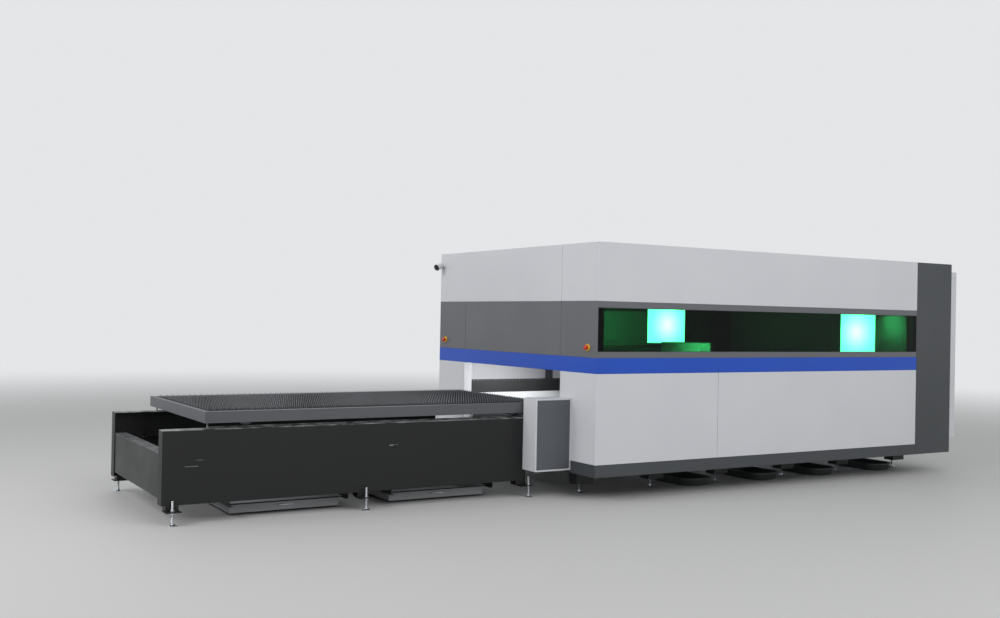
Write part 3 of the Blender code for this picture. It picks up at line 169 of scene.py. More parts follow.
def patterned_finish(name, light, dark, roughness, clouds, skin, sheen=None, grain=None, **shader_sockets):
    """A finish with clouds (patches per metre, detail) and a skin (the same, and its depth in metres)."""
    material, tree, shader = new_finish(name, light, roughness, **shader_sockets)
    place = add_node(tree, "ShaderNodeTexCoord").outputs["Object"]
    if grain:
        place = add_node(tree, "ShaderNodeMapping", Vector=place, Scale=grain).outputs["Vector"]
    cloudy = add_node(tree, "ShaderNodeTexNoise", Vector=place, Scale=clouds[0],
                      Detail=clouds[1]).outputs["Fac"]
    colour = add_node(tree, "ShaderNodeMix", {"data_type": "RGBA"}, i0=cloudy, i6=linear(light),
                      i7=linear(dark)).outputs[2]
    tree.links.new(colour, shader.inputs["Base Color"])
    if sheen:
        dulled = add_node(tree, "ShaderNodeMapRange", Value=cloudy, i1=0.3, i2=0.7, i3=sheen[0], i4=sheen[1])
        tree.links.new(dulled.outputs["Result"], shader.inputs["Roughness"])
    fine = add_node(tree, "ShaderNodeTexNoise", Vector=place, Scale=skin[0], Detail=skin[1])
    bump = add_node(tree, "ShaderNodeBump", Height=fine.outputs["Fac"], Distance=skin[2])
    tree.links.new(bump.outputs["Normal"], shader.inputs["Normal"])
    return material, tree, shader, place, cloudy, colour


def seen_by(tree, *rays):
    """1 where one of the named kinds of ray looks at the surface, and 0 for all other light."""
    path = add_node(tree, "ShaderNodeLightPath")
    seen = path.outputs[rays[0]]
    for ray in rays[1:]:
        seen = add_node(tree, "ShaderNodeMath", {"operation": "MAXIMUM"}, i0=seen,
                        i1=path.outputs[ray]).outputs[0]
    return seen


print("helpers ready")

# %% [markdown]
# ## Powder coat
# The cabin's sheets are sprayed with dry powder and baked. That leaves an even satin
# film whose skin has a very fine orange peel, about 3 mm from crest to crest, and a
# faint cloudiness where the film is thicker. The peel is drawn at 6 mm so that it can
# still be seen as a broken highlight. The clouds are 60 cm wide and only just there.

# %% Powder coats
PEEL_CREST = 0.006
PEEL_DEPTH = 0.00004
CLOUD_SIZE = 0.6


def powder_coat(name, light, dark, roughness):
    return patterned_finish(name, light, dark, roughness, (1 / CLOUD_SIZE, 4),
                            (1 / PEEL_CREST, 2, PEEL_DEPTH), (roughness - 0.04, roughness + 0.05), IOR=1.5)[0]


WHITE_COAT = powder_coat("white_powder_coat_finish", "#c9cace", "#c0c1c6", 0.36)
GREY_COAT = powder_coat("grey_powder_coat_finish", "#626468", "#595b60", 0.42)
DARK_COAT = powder_coat("dark_grey_powder_coat_finish", "#404346", "#393c3f", 0.44)
PALLET_COAT = powder_coat("pallet_grey_enamel_finish", "#54565a", "#47494d", 0.5)
# The tray coat is partly the trays' own light grey and partly painted light: it is drawn lighter to make up
# for the shade of the table base that the trays sit in.
TRAY_COAT_PAINTED_LIGHTER = powder_coat("tray_coat_painted_lighter_finish", "#909295", "#7c7e81", 0.5)
DOOR_COAT = powder_coat("door_grey_finish", "#54575d", "#4d5056", 0.42)
print("finishes so far:", len(bpy.data.materials))

# %% [markdown]
# ## Blue stripe
# The stripe is the same kind of coat in a strong blue. On the long side it is made of
# two lengths, and the joint between them is a hairline. A mask on the X coordinate
# draws it 2 mm wide, at the same place as the seam between the white panels below.

# %% Blue coat with its joint
seam_x = (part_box("front_lower_panel_left")[1][0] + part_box("front_lower_panel_right")[0][0]) / 2
JOINT_WIDTH = 0.002


def blue_coat():
    material, tree, shader, place, cloudy, colour = patterned_finish(
        "blue_coat_finish", "#0349b8", "#0241a8", 0.38, (1 / CLOUD_SIZE, 4), (1 / PEEL_CREST, 2, PEEL_DEPTH),
        IOR=1.5)
    along = add_node(tree, "ShaderNodeSeparateXYZ", Vector=place).outputs["X"]
    joint = add_node(tree, "ShaderNodeMath", {"operation": "COMPARE"}, i0=along, i1=seam_x,
                     i2=JOINT_WIDTH / 2)
    lined = add_node(tree, "ShaderNodeMix", {"data_type": "RGBA"}, i0=joint.outputs[0], i6=colour,
                     i7=linear("#0a2150"))
    tree.links.new(lined.outputs[2], shader.inputs["Base Color"])
    return material


BLUE_COAT = blue_coat()
print("seam at x", round(seam_x, 3))

# %% [markdown]
# ## Black enamel of the table base
# The base is thick plate with a coat of black enamel. Loading sheets has rubbed its top
# edge bright and left a few short scratches on the long side, so wear is masked by
# height, and broken up by noise that is drawn out along the edge. The scratches are
# four short marks, each one a small box in height and length.

# %% Black enamel
BASE_TOP_EDGE = 0.698
END_TOP_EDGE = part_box("base_end_plate")[1][2]
WORN_EDGE = 0.0035
# Each scratch: x and z of its middle, then its length and its height.
SCRATCHES = ((-3.30, 0.425, 0.10, 0.004), (-3.24, 0.470, 0.05, 0.002), (-1.66, 0.510, 0.035, 0.006),
             (-1.63, 0.514, 0.07, 0.002))
BARED_METAL = "#a9abad"


def black_enamel(name, light, dark, edge_height, wear_share, scratches=()):
    material, tree, shader, place, cloudy, colour = patterned_finish(
        name, light, dark, 0.42, (2, 4), (120, 2, 0.00006), (0.38, 0.52), IOR=1.45)
    drawn_out = add_node(tree, "ShaderNodeMapping", Vector=place, Scale=(0.3, 0.3, 1)).outputs["Vector"]
    axes = add_node(tree, "ShaderNodeSeparateXYZ", Vector=place)
    edge = add_node(tree, "ShaderNodeMapRange", Value=axes.outputs["Z"], i1=edge_height - 2 * WORN_EDGE,
                    i2=edge_height - WORN_EDGE, i3=0, i4=1)
    streaks = add_node(tree, "ShaderNodeTexNoise", Vector=drawn_out, Scale=30, Detail=6)
    broken = add_node(tree, "ShaderNodeMapRange", Value=streaks.outputs["Fac"], i1=0.36, i2=0.62,
                      i3=0, i4=wear_share)
    worn = add_node(tree, "ShaderNodeMath", {"operation": "MULTIPLY"}, i0=edge.outputs["Result"],
                    i1=broken.outputs["Result"]).outputs[0]
    for x, z, length, height in scratches:
        spot = at(x, 0, z)
        mark = streaks.outputs["Fac"]
        for axis, middle, reach in (("X", spot.x, length / 2), ("Z", spot.z, height / 2)):
            inside = add_node(tree, "ShaderNodeMath", {"operation": "COMPARE"}, i0=axes.outputs[axis],
                              i1=middle, i2=reach)
            mark = add_node(tree, "ShaderNodeMath", {"operation": "MULTIPLY"}, i0=mark,
                            i1=inside.outputs[0]).outputs[0]
        worn = add_node(tree, "ShaderNodeMath", {"operation": "MAXIMUM"}, i0=worn, i1=mark).outputs[0]
    bared = add_node(tree, "ShaderNodeMix", {"data_type": "RGBA"}, i0=worn, i6=colour, i7=linear(BARED_METAL))
    tree.links.new(bared.outputs[2], shader.inputs["Base Color"])
    return material


BLACK_COAT = black_enamel("black_enamel_finish", "#0b0c0d", "#070809", BASE_TOP_EDGE, 0.6, SCRATCHES)
# The end plate's copy of the black enamel is painted lighter than the sides' enamel, standing in for the
# light of the end lamp on that face.
END_COAT_PAINTED_LIGHTER = black_enamel("end_plate_enamel_painted_lighter_finish", "#222324", "#191a1b", END_TOP_EDGE, 0.22)
print("worn edges at", round(BASE_TOP_EDGE, 3), round(END_TOP_EDGE, 3))

# %% [markdown]
# ## Bare steels
# The slats are cut from hot rolled sheet: dark scale on the faces, and the teeth are drawn
# brighter towards their points, partly for bare cut metal and partly as a painted highlight
# where the points catch the light from above. The ways and wheels are ground, with a fine
# grain along their length. The feet, handles and screws are zinc plated or chromed, bright
# and slightly blue, and a stud shows its thread as fine rings, drawn at the real 2 mm pitch,
# with painted shade in the grooves and a painted highlight on the crests.

# %% Bare steels


def bare_steel(name, light, dark, roughness, grain):
    return patterned_finish(name, light, dark, roughness, (7, 5), (250, 2, 0.00003),
                            (roughness - 0.06, roughness + 0.1), grain, Metallic=1.0)[0]


EVEN = (1, 1, 1)
GROUND_STEEL = bare_steel("ground_steel_finish", "#d2d4d6", "#b9bbbe", 0.24, (0.2, 6, 6))
ZINC = bare_steel("zinc_plate_finish", "#d9dce0", "#bfc2c7", 0.2, EVEN)
WHEEL_STEEL = bare_steel("oiled_wheel_steel_finish", "#77797c", "#4f5154", 0.34, EVEN)
CHROME = bare_steel("bright_chrome_finish", "#dfe1e3", "#cfd1d4", 0.1, EVEN)
print("finishes so far:", len(bpy.data.materials))

# %% Threaded studs
THREAD_PITCH = 0.002


def threaded_stud():
    material, tree, shader = new_finish("threaded_zinc_painted_shade_finish", "#d0d3d7", 0.25, Metallic=1.0)
    place = add_node(tree, "ShaderNodeTexCoord").outputs["Object"]
    rings = add_node(tree, "ShaderNodeTexWave", {"bands_direction": "Z", "wave_profile": "TRI"}, Vector=place,
                     Scale=math.pi / (10 * THREAD_PITCH))
    # Painted shade and highlight: the thread's grooves are painted darker and its crests lighter.
    dulled = add_node(tree, "ShaderNodeMix", {"data_type": "RGBA"}, i0=rings.outputs["Fac"],
                      i6=linear("#8d9095"), i7=linear("#dfe2e6"))
    tree.links.new(dulled.outputs[2], shader.inputs["Base Color"])
    bump = add_node(tree, "ShaderNodeBump", Height=rings.outputs["Fac"], Distance=0.0008)
    tree.links.new(bump.outputs["Normal"], shader.inputs["Normal"])
    return material


THREAD = threaded_stud()
print("thread pitch in mm:", THREAD_PITCH * 1000)

# %% Slat steel
slat_low, slat_high = corners_of("upper_slat_grid")
level_step = corners_of("lower_slat_grid")[0] - slat_low
level_step.y = 0
TOOTH_HEIGHT, TIP_METAL_AND_HIGHLIGHT_SHARE = 0.032, 0.38


def slat_steel(name, tip_height):
    material, tree, shader, place, cloudy, colour = patterned_finish(
        name, "#3c3e41", "#1d1f21", 0.5, (25, 5), (400, 2, 0.00005), (0.42, 0.62), Metallic=0.55)
    height = add_node(tree, "ShaderNodeSeparateXYZ", Vector=place).outputs["Z"]
    # Painted highlight, partly bare cut metal: the teeth grow lighter towards their points.
    bare_and_lit_tips = add_node(tree, "ShaderNodeMapRange", Value=height, i1=tip_height - TOOTH_HEIGHT, i2=tip_height,
                       i3=0, i4=TIP_METAL_AND_HIGHLIGHT_SHARE)
    bright = add_node(tree, "ShaderNodeMix", {"data_type": "RGBA"}, i0=bare_and_lit_tips.outputs["Result"], i6=colour,
                      i7=linear("#a2a4a7"))
    tree.links.new(bright.outputs[2], shader.inputs["Base Color"])
    return material


UPPER_SLAT_STEEL = slat_steel("upper_hot_rolled_slat_finish", slat_high[2])
LOWER_SLAT_STEEL = slat_steel("lower_hot_rolled_slat_finish", slat_high[2] + level_step.z)
print("slats stand from z", round(slat_low[2], 3), "to", round(slat_high[2], 3))

# %% [markdown]
# ## Plastics
# The stop button is a red moulding in a yellow collar, the seals round the window are
# black rubber, and the bins are moulded in a dull dark plastic. All of them are mouldings
# with a soft sheen, so the powder recipe serves, with a finer and shallower skin.

# %% Plastics


def moulding(name, light, dark, roughness):
    return patterned_finish(name, light, dark, roughness, (12, 3), (900, 1, 0.00002), IOR=1.5)[0]


BIN_PLASTIC = moulding("moulded_bin_finish", "#3d4242", "#2e3232", 0.4)
RED_PLASTIC = moulding("red_moulding_finish", "#d02a1a", "#b92114", 0.3)
YELLOW_PLASTIC = moulding("yellow_moulding_finish", "#e0aa1e", "#cf9815", 0.35)
BLACK_PLASTIC = moulding("black_moulding_finish", "#17181a", "#101113", 0.35)
RUBBER = moulding("seal_rubber_finish", "#17191a", "#111313", 0.6)
print("finishes so far:", len(bpy.data.materials))

# %% [markdown]
# ## Laser glass
# The window is acrylic laser glass: it takes out nearly all the red and most of the
# blue, so the room behind looks a deep green. A tenth of the green comes through, and
# that share is the shader's own colour. Its sheen is held low, as a coated acrylic's
# is, and the sheet is never quite flat, which a slow ripple shows.

# %% Laser glass


def laser_glass():
    material, tree, shader = new_finish("laser_glass_finish", "#12592a", 0.01, IOR=1.2)
    shader.inputs["Transmission Weight"].default_value = 1
    place = add_node(tree, "ShaderNodeTexCoord").outputs["Object"]
    ripple = add_node(tree, "ShaderNodeTexNoise", Vector=place, Scale=1.1, Detail=1)
    bump = add_node(tree, "ShaderNodeBump", Height=ripple.outputs["Fac"], Distance=0.0006)
    tree.links.new(bump.outputs["Normal"], shader.inputs["Normal"])
    return material


GLASS = laser_glass()

# %% [markdown]
# ## Lamp panels
# Two opal panels light the room. Their diodes sit behind the middle, so the glow falls
# off from there to the rim. The distance from the middle is turned into a nearness from
# 1 to 0, and a power of that gives a small hot spot in a panel that is still bright at
# its rim. In a photograph such a panel is far over-exposed while the room stays dark,
# so it shows the eye more light than it gives to the walls.

# %% Lamp panels
LAMP_CENTRE_STRENGTH, LAMP_EDGE_STRENGTH, LAMP_GIVEN_STRENGTH = 220, 40, 1.5
LAMP_FALL_OFF = 1.6


def lit_panel(name, node):
    low, high = corners_of(node)
    middle, reach = (low + high) / 2, max((high - low) / 2)
    material, tree, shader = new_finish(name, "#e8fff6", 0.4)
    place = add_node(tree, "ShaderNodeTexCoord").outputs["Object"]
    away = add_node(tree, "ShaderNodeVectorMath", {"operation": "DISTANCE"}, i0=place, i1=middle)
    nearness = add_node(tree, "ShaderNodeMapRange", Value=away.outputs["Value"], i1=0, i2=reach, i3=1, i4=0)
    spot = add_node(tree, "ShaderNodeMath", {"operation": "POWER"}, i0=nearness.outputs["Result"],
                    i1=LAMP_FALL_OFF)
    glow = add_node(tree, "ShaderNodeMapRange", Value=spot.outputs[0], i3=LAMP_EDGE_STRENGTH,
                    i4=LAMP_CENTRE_STRENGTH)
    shown = add_node(tree, "ShaderNodeMapRange", Value=seen_by(tree, "Is Camera Ray", "Is Transmission Ray"),
                     i3=LAMP_GIVEN_STRENGTH, i4=glow.outputs["Result"])
    shader.inputs["Emission Color"].default_value = linear("#e6ecff")
    tree.links.new(shown.outputs["Result"], shader.inputs["Emission Strength"])
    return material


REAR_LAMP_GLOW = lit_panel("rear_lamp_diffuser_finish", "rear_lamp")
TAIL_LAMP_GLOW = lit_panel("tail_lamp_diffuser_finish", "tail_lamp")

# %% [markdown]
# ## The bed's three finishes
# Each side of the bed is one solid that carries the white coat of the beam, the black
# coat of its foot blocks and of the folded guard along the way, and the ground steel of
# the way itself. Height and the distance from the machine's middle line tell them apart,
# and each coat covers the one before it where its mask is 1.

# %% Bed finish
FOOT_BLOCK_TOP = 0.205
BEAM_TOP = 0.7905
GUARD_INNER = 0.534
COAT_ROUGHNESS, WAY_ROUGHNESS = 0.45, 0.24


def bed_coat():
    material, tree, shader, place, cloudy, black = patterned_finish(
        "bed_enamel_finish", "#1d1f20", "#141517", 0.42, (3, 4), (150, 2, 0.00005), IOR=1.5)
    axes = add_node(tree, "ShaderNodeSeparateXYZ", Vector=place)
    white = add_node(tree, "ShaderNodeMix", {"data_type": "RGBA"}, i0=cloudy, i6=linear("#c6c8ca"),
                     i7=linear("#bbbdc0"))
    off_middle = add_node(tree, "ShaderNodeMath", {"operation": "ABSOLUTE"}, i0=axes.outputs["Y"])
    above_foot, above_beam, outside_guard = (
        add_node(tree, "ShaderNodeMath", {"operation": "GREATER_THAN"}, i0=measure, i1=limit).outputs[0]
        for measure, limit in ((axes.outputs["Z"], FOOT_BLOCK_TOP), (axes.outputs["Z"], BEAM_TOP),
                               (off_middle.outputs[0], CABIN_WIDTH / 2 - GUARD_INNER)))
    on_way = add_node(tree, "ShaderNodeMath", {"operation": "MULTIPLY"}, i0=above_beam,
                      i1=outside_guard).outputs[0]
    coat = black
    for mask, covering in ((above_foot, white.outputs[2]), (above_beam, black), (on_way, linear("#cfd1d3"))):
        coat = add_node(tree, "ShaderNodeMix", {"data_type": "RGBA"}, i0=mask, i6=coat,
                        i7=covering).outputs[2]
    tree.links.new(coat, shader.inputs["Base Color"])
    tree.links.new(on_way, shader.inputs["Metallic"])
    sheen = add_node(tree, "ShaderNodeMapRange", Value=on_way, i3=COAT_ROUGHNESS, i4=WAY_ROUGHNESS)
    tree.links.new(sheen.outputs["Result"], shader.inputs["Roughness"])
    return material


BED_COAT = bed_coat()
print("bed finish splits at z", FOOT_BLOCK_TOP, BEAM_TOP)

# %% Finishes on the solids
FINISHES = {
    "white_powder_coat": WHITE_COAT, "grey_powder_coat": GREY_COAT, "dark_grey_powder_coat": DARK_COAT,
    "blue_enamel": BLUE_COAT, "black_enamel": BLACK_COAT, "pallet_grey_enamel": PALLET_COAT,
    "mild_steel_slat": UPPER_SLAT_STEEL, "ground_steel": GROUND_STEEL, "laser_safety_glass": GLASS,
    "tray_steel": TRAY_COAT_PAINTED_LIGHTER, "lamp_diffuser": REAR_LAMP_GLOW, "red_plastic": RED_PLASTIC,
    "bin_plastic": BIN_PLASTIC,
}
OWN_FINISHES = {"tail_lamp": TAIL_LAMP_GLOW, "drive_box_door": DOOR_COAT, "base_end_plate": END_COAT_PAINTED_LIGHTER,
                "bed_side_front": BED_COAT, "bed_side_rear": BED_COAT, "end_frame": WHITE_COAT}
for part in frame["record"]["subparts"]:
    solid = nodes[part["node"]]
    solid.data.materials.clear()
    solid.data.materials.append(OWN_FINISHES.get(part["node"], FINISHES[part["material_slot"]]))

# %% [markdown]
# ## Folded edges
# A sheet that is folded in a press brake has no sharp edge: its outer corner is a small
# round of about the sheet's own thickness. The solids have sharp corners, so each folded
# one gets a Weld, which joins its loose triangles, and a Bevel that rounds every corner
# sharper than 60 degrees. Where two panels meet, the rounds leave the fine dark groove
# that a real seam shows.

# %% Rounded folds
FOLD_ROUND, FOLD_SHARPEST = 0.002, 60
FOLDED_STARTS = ("front_", "rear_", "end_", "tail_", "roof_", "drive_box", "cabinet_", "carriage_")
FOLDED = [name for name in nodes
          if name.startswith(FOLDED_STARTS) and not name.endswith(("_frame", "_lamp", "_pane"))]
for name in FOLDED:
    weld = nodes[name].modifiers.new("weld", "WELD")
    weld.merge_threshold = 0.00001
    bevel = nodes[name].modifiers.new("fold_round", "BEVEL")
    bevel.width, bevel.segments = FOLD_ROUND, 2
    bevel.limit_method = "ANGLE"
    bevel.angle_limit = math.radians(FOLD_SHARPEST)
print("rounded folds on", len(FOLDED), "solids")

# %% [markdown]
# ## Helpers for modelling
# Pieces are modelled as by hand: add a primitive, shape it in edit mode, apply its
# place. A few small helpers cover the steps that all pieces share. The first makes sure
# that nothing else is selected when an operator runs.

# %% Modelling helpers


def fresh(add_primitive, name, **settings):
    """Adds one primitive with nothing else selected, and names it."""
    bpy.ops.object.select_all(action="DESELECT")
    add_primitive(**settings)
    made = bpy.context.object
    made.name = name
    made.data.name = name
    return made


def settle(piece, matrix=None):
    """Puts a piece where a matrix says and applies it, so that its place is in its mesh."""
    if matrix is not None:
        piece.matrix_world = matrix @ piece.matrix_world
    bpy.ops.object.select_all(action="DESELECT")
    piece.select_set(True)
    bpy.context.view_layer.objects.active = piece
    bpy.ops.object.transform_apply(location=True, rotation=True, scale=True)
    return piece


def edit_all():
    """Enters edit mode with the whole mesh selected."""
    bpy.ops.object.mode_set(mode="EDIT")
    bpy.ops.mesh.select_all(action="SELECT")


def leave_edit():
    bpy.ops.object.mode_set(mode="OBJECT")


def leave_outward():
    """Turns all faces outwards and leaves edit mode."""
    bpy.ops.mesh.select_all(action="SELECT")
    bpy.ops.mesh.normals_make_consistent(inside=False)
    leave_edit()


def extrude(x, y, z):
    bpy.ops.mesh.extrude_region_move(TRANSFORM_OT_translate={"value": (x, y, z)})


def round_edges(piece, radius):
    """Rounds every edge of a piece."""
    edit_all()
    bpy.ops.mesh.bevel(offset=radius, segments=2, affect="EDGES")
    leave_edit()
    return piece


def block(name, low, high, edge=0.0):
    """A block between two corners, with all its edges rounded by a given radius."""
    low, high = Vector(low), Vector(high)
    made = fresh(bpy.ops.mesh.primitive_cube_add, name, size=1, location=(low + high) / 2)
    made.scale = high - low
    settle(made)
    return round_edges(made, edge) if edge else made


def turned(name, profile, sides=24):
    """A turned piece on the Z axis, closed at both ends, grown through (radius, height) pairs."""
    radius, height = profile[0]
    made = fresh(bpy.ops.mesh.primitive_circle_add, name, vertices=sides, radius=radius, fill_type="NGON",
                 location=(0, 0, height))
    settle(made)
    edit_all()
    for next_radius, next_height in profile[1:]:
        extrude(0, 0, next_height - height)
        ratio = next_radius / radius
        bpy.ops.transform.resize(value=(ratio, ratio, 1), center_override=(0, 0, next_height))
        radius, height = next_radius, next_height
    leave_outward()
    bpy.ops.object.shade_smooth_by_angle(angle=math.radians(35))
    return made


def copies(model, places):
    """Copies of one modelled piece, each with its own mesh, moved to each place."""
    made = []
    for number, place in enumerate(places, start=1):
        twin = model.copy()
        twin.data = model.data.copy()
        twin.name = f"{model.name}_{number}"
        twin.location = place
        scene.collection.objects.link(twin)
        made.append(settle(twin))
    return made


def choose(piece, kind, test):
    """Enters edit mode with just those vertices, edges or polygons selected that pass a test."""
    kinds = ("vertices", "edges", "polygons")
    bpy.context.tool_settings.mesh_select_mode = [kind == one for one in kinds]
    bpy.ops.object.select_all(action="DESELECT")
    piece.select_set(True)
    bpy.context.view_layer.objects.active = piece
    bpy.ops.object.mode_set(mode="EDIT")
    bpy.ops.mesh.select_all(action="DESELECT")
    leave_edit()
    for element in getattr(piece.data, kind):
        element.select = test(element)
    bpy.ops.object.mode_set(mode="EDIT")


def open_faces(piece, test):
    """Deletes the faces that pass a test and keeps their edges."""
    choose(piece, "polygons", test)
    bpy.ops.mesh.delete(type="ONLY_FACE")
    leave_edit()


def finish_with(piece, kind, **settings):
    """Adds one modifier with its settings and applies it."""
    modifier = piece.modifiers.new(kind.lower(), kind)
    for name, value in settings.items():
        setattr(modifier, name, value)
    bpy.ops.object.modifier_apply(modifier=modifier.name)


def joined(name, pieces):
    """Several pieces made one object, kept as separate shells."""
    bpy.ops.object.select_all(action="DESELECT")
    for one in pieces:
        one.select_set(True)
    bpy.context.view_layer.objects.active = pieces[0]
    if len(pieces) > 1:
        bpy.ops.object.join()
    whole = bpy.context.object
    whole.name = name
    whole.data.name = name
    return whole


def dress(piece, body, slot, finish, *replaced):
    """Gives a finished piece its body, its finish and the solids that it stands for. The slot is not used."""
    piece.data.materials.clear()
    piece.data.materials.append(finish)
    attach(piece, body)
    if replaced:
        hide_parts(*replaced)
    return piece


print("modelling helpers ready")

# %% [markdown]
# ## Saw-tooth slats
# Sheet metal lies on the points of 61 upright slats, so that the beam touches little
# else. Each slat is a thin bar whose top edge is cut into hollow-sided teeth 46 mm
# apart. It starts as a grid primitive stood on edge, with four columns to a tooth: the
# first keeps its height as the point, the third goes down by the whole tooth, and the
# two beside it by a little less. One extrude gives the sheet its thickness. The
# finished slat is copied along the table, and two comb plates hold the row.

# %% One slat
SLAT_COUNT, SLAT_PITCH, SLAT_SHEET, SLAT_LIFT = 61, 0.05, 0.0035, 0.004
TEETH, FLANK_DEPTH = 33, 0.8
COMB_SHEET, COMB_TOP, COMB_EDGE = 0.006, 0.820, 0.0006
slat_width = slat_high[1] - slat_low[1] - COMB_SHEET
slat_top, slat_foot = slat_high[2], slat_low[2] + SLAT_LIFT


def saw_slat():
    made = fresh(bpy.ops.mesh.primitive_grid_add, "slat", x_subdivisions=4 * TEETH, y_subdivisions=1,
                 size=1)
    made.scale = (slat_width, slat_top - slat_foot, 1)
    settle(made)
    upright = Matrix(((0, 0, 1, 0), (1, 0, 0, 0), (0, 1, 0, 0), (0, 0, 0, 1)))
    settle(made, Matrix.Translation((0, 0, (slat_top + slat_foot) / 2)) @ upright)
    quarter_tooth = slat_width / (4 * TEETH)
    for quarter, depth in ((1, FLANK_DEPTH), (2, 1), (3, FLANK_DEPTH)):
        choose(made, "vertices", lambda corner: corner.co.z > slat_foot + SLAT_LIFT
               and round((corner.co.y + slat_width / 2) / quarter_tooth) % 4 == quarter)
        bpy.ops.transform.translate(value=(0, 0, -depth * TOOTH_HEIGHT))
        leave_edit()
    edit_all()
    extrude(SLAT_SHEET, 0, 0)
    leave_outward()
    return settle(made, Matrix.Translation((-SLAT_SHEET / 2, 0, 0)))


slat = saw_slat()
print("slat faces:", len(slat.data.polygons))

# %% Both pallets' slats
first_slat = (slat_low[0] + slat_high[0] - (SLAT_COUNT - 1) * SLAT_PITCH) / 2


def slat_row(name, shift, body, node, steel):
    places = [shift + Vector((first_slat + step * SLAT_PITCH, 0, 0)) for step in range(SLAT_COUNT)]
    row = copies(slat, places)
    for number, y in enumerate((slat_low[1], slat_high[1] - COMB_SHEET), start=1):
        row.append(block(f"{name}_comb_{number}", shift + Vector((slat_low[0], y, slat_low[2])),
                         shift + Vector((slat_high[0], y + COMB_SHEET, COMB_TOP)), COMB_EDGE))
    return dress(joined(name, row), body, "mild_steel_slat", steel, node)


upper_slats = slat_row("upper_saw_tooth_slats", Vector((0, 0, 0)), "upper_pallet", "upper_slat_grid",
                       UPPER_SLAT_STEEL)
slat_row("lower_saw_tooth_slats", level_step, "lower_pallet", "lower_slat_grid", LOWER_SLAT_STEEL)
bpy.data.objects.remove(slat, do_unlink=True)
print("slat faces in a row:", len(upper_slats.data.polygons))

# %% [markdown]
# ## Levelling feet
# The machine stands on threaded studs with a round foot under each, and nuts lock them
# against the pad plate. The foot is turned from a short profile with its three fixing
# screws on top. A nut is a six-sided cylinder with its edges broken.

# %% One foot
FOOT_RADIUS, FOOT_SCREW_CIRCLE = 0.037, 0.029
STUD_RADIUS, STUD_TIP_RADIUS = 0.0087, 0.0065
NUT_RADIUS, NUT_HEIGHT, NUT_EDGE = 0.0162, 0.0124, 0.0012


def foot_disc():
    disc = turned("foot_disc", ((FOOT_RADIUS, 0.0), (FOOT_RADIUS, 0.003), (0.0255, 0.0126), (0.015, 0.0142),
                                (0.0135, 0.022), (0.0105, 0.024)), 32)
    heads = []
    for turn in range(3):
        place = Matrix.Rotation(math.radians(90 + 120 * turn), 4, "Z") @ Vector((FOOT_SCREW_CIRCLE, 0, 0))
        head = turned("foot_screw", ((0.0042, 0.006), (0.0042, 0.0125), (0.0026, 0.0142)), 10)
        heads.append(settle(head, Matrix.Translation(place)))
    return joined("foot_disc", [disc] + heads)


def hexagon_nut(bottom):
    nut = fresh(bpy.ops.mesh.primitive_cylinder_add, "nut", vertices=6, radius=NUT_RADIUS, depth=NUT_HEIGHT,
                location=(0, 0, bottom + NUT_HEIGHT / 2))
    return round_edges(settle(nut), NUT_EDGE)


print("foot parts ready")

# %% All the feet
BASE_FEET_X, BASE_FEET_Y, BASE_STUD_TOP = (-3.446, -1.894, -0.334), 0.529, 0.1858
BED_FEET_X, BED_FEET_Y, BED_BLOCK_BOTTOM = (0.222, 1.05, 1.87, 2.78, 3.60, 4.50), 0.539, 0.087
PAD_BOTTOM, PAD_TOP = 0.097, 0.105
NUT_SEAT, STUD_FOOT, STUD_EDGE, STUD_PAST = 0.0002, 0.02, 0.0015, 0.002


def feet(name, xs, front_y, nut_bottoms, stud_top):
    places = [at(x, y, 0) for y in both_sides(front_y) for x in xs]
    hardware = [foot_disc()] + [hexagon_nut(bottom) for bottom in nut_bottoms]
    model = joined(name + "_model", hardware)
    dress(joined(name + "_feet", copies(model, places)), "machine", "ground_steel", ZINC)
    bpy.data.objects.remove(model, do_unlink=True)
    stud = turned(name + "_stud", ((STUD_RADIUS, STUD_FOOT), (STUD_RADIUS, stud_top - STUD_EDGE),
                                   (STUD_TIP_RADIUS, stud_top)), 20)
    dress(joined(name + "_studs", copies(stud, places)), "machine", "ground_steel", THREAD)
    bpy.data.objects.remove(stud, do_unlink=True)
    return len(places)


base_feet = feet("base", BASE_FEET_X, BASE_FEET_Y,
                 (PAD_BOTTOM - NUT_HEIGHT + NUT_SEAT, PAD_TOP - NUT_SEAT), BASE_STUD_TOP)
bed_feet = feet("bed", BED_FEET_X, BED_FEET_Y, (BED_BLOCK_BOTTOM - NUT_HEIGHT + NUT_SEAT,),
                BED_BLOCK_BOTTOM + STUD_PAST)
print("feet:", base_feet, "+", bed_feet)

# %% [markdown]
# ## Screws along the way guards
# A folded black guard shields each gantry way. A row of button-head screws, about 43 mm
# apart, holds it near its top edge, and they catch the light as a dotted line. There
# are nearly two hundred, so one head has only a few faces.

# %% Guard screws
GUARD_FACE_Y, GUARD_SCREW_Z = 0.539, 0.914
GUARD_SCREW_START, GUARD_SCREW_PITCH, GUARD_SCREW_COUNT = 0.13, 0.0428, 93
QUARTER_TURN = math.radians(90)


def guard_screws(name, face_y, outward):
    head = turned(name + "_head", ((0.0055, 0.0), (0.0055, 0.0015), (0.0035, 0.0032)), 8)
    settle(head, Matrix.Rotation(-QUARTER_TURN * outward, 4, "X"))
    places = [at(GUARD_SCREW_START + step * GUARD_SCREW_PITCH, face_y, GUARD_SCREW_Z)
              for step in range(GUARD_SCREW_COUNT)]
    row = joined(name, copies(head, places))
    bpy.data.objects.remove(head, do_unlink=True)
    return dress(row, "machine", "ground_steel", ZINC)


front_face, rear_face = both_sides(GUARD_FACE_Y)
guard_screws("front_guard_screws", front_face, 1)
guard_screws("rear_guard_screws", rear_face, -1)
print("guard screws:", 2 * GUARD_SCREW_COUNT)

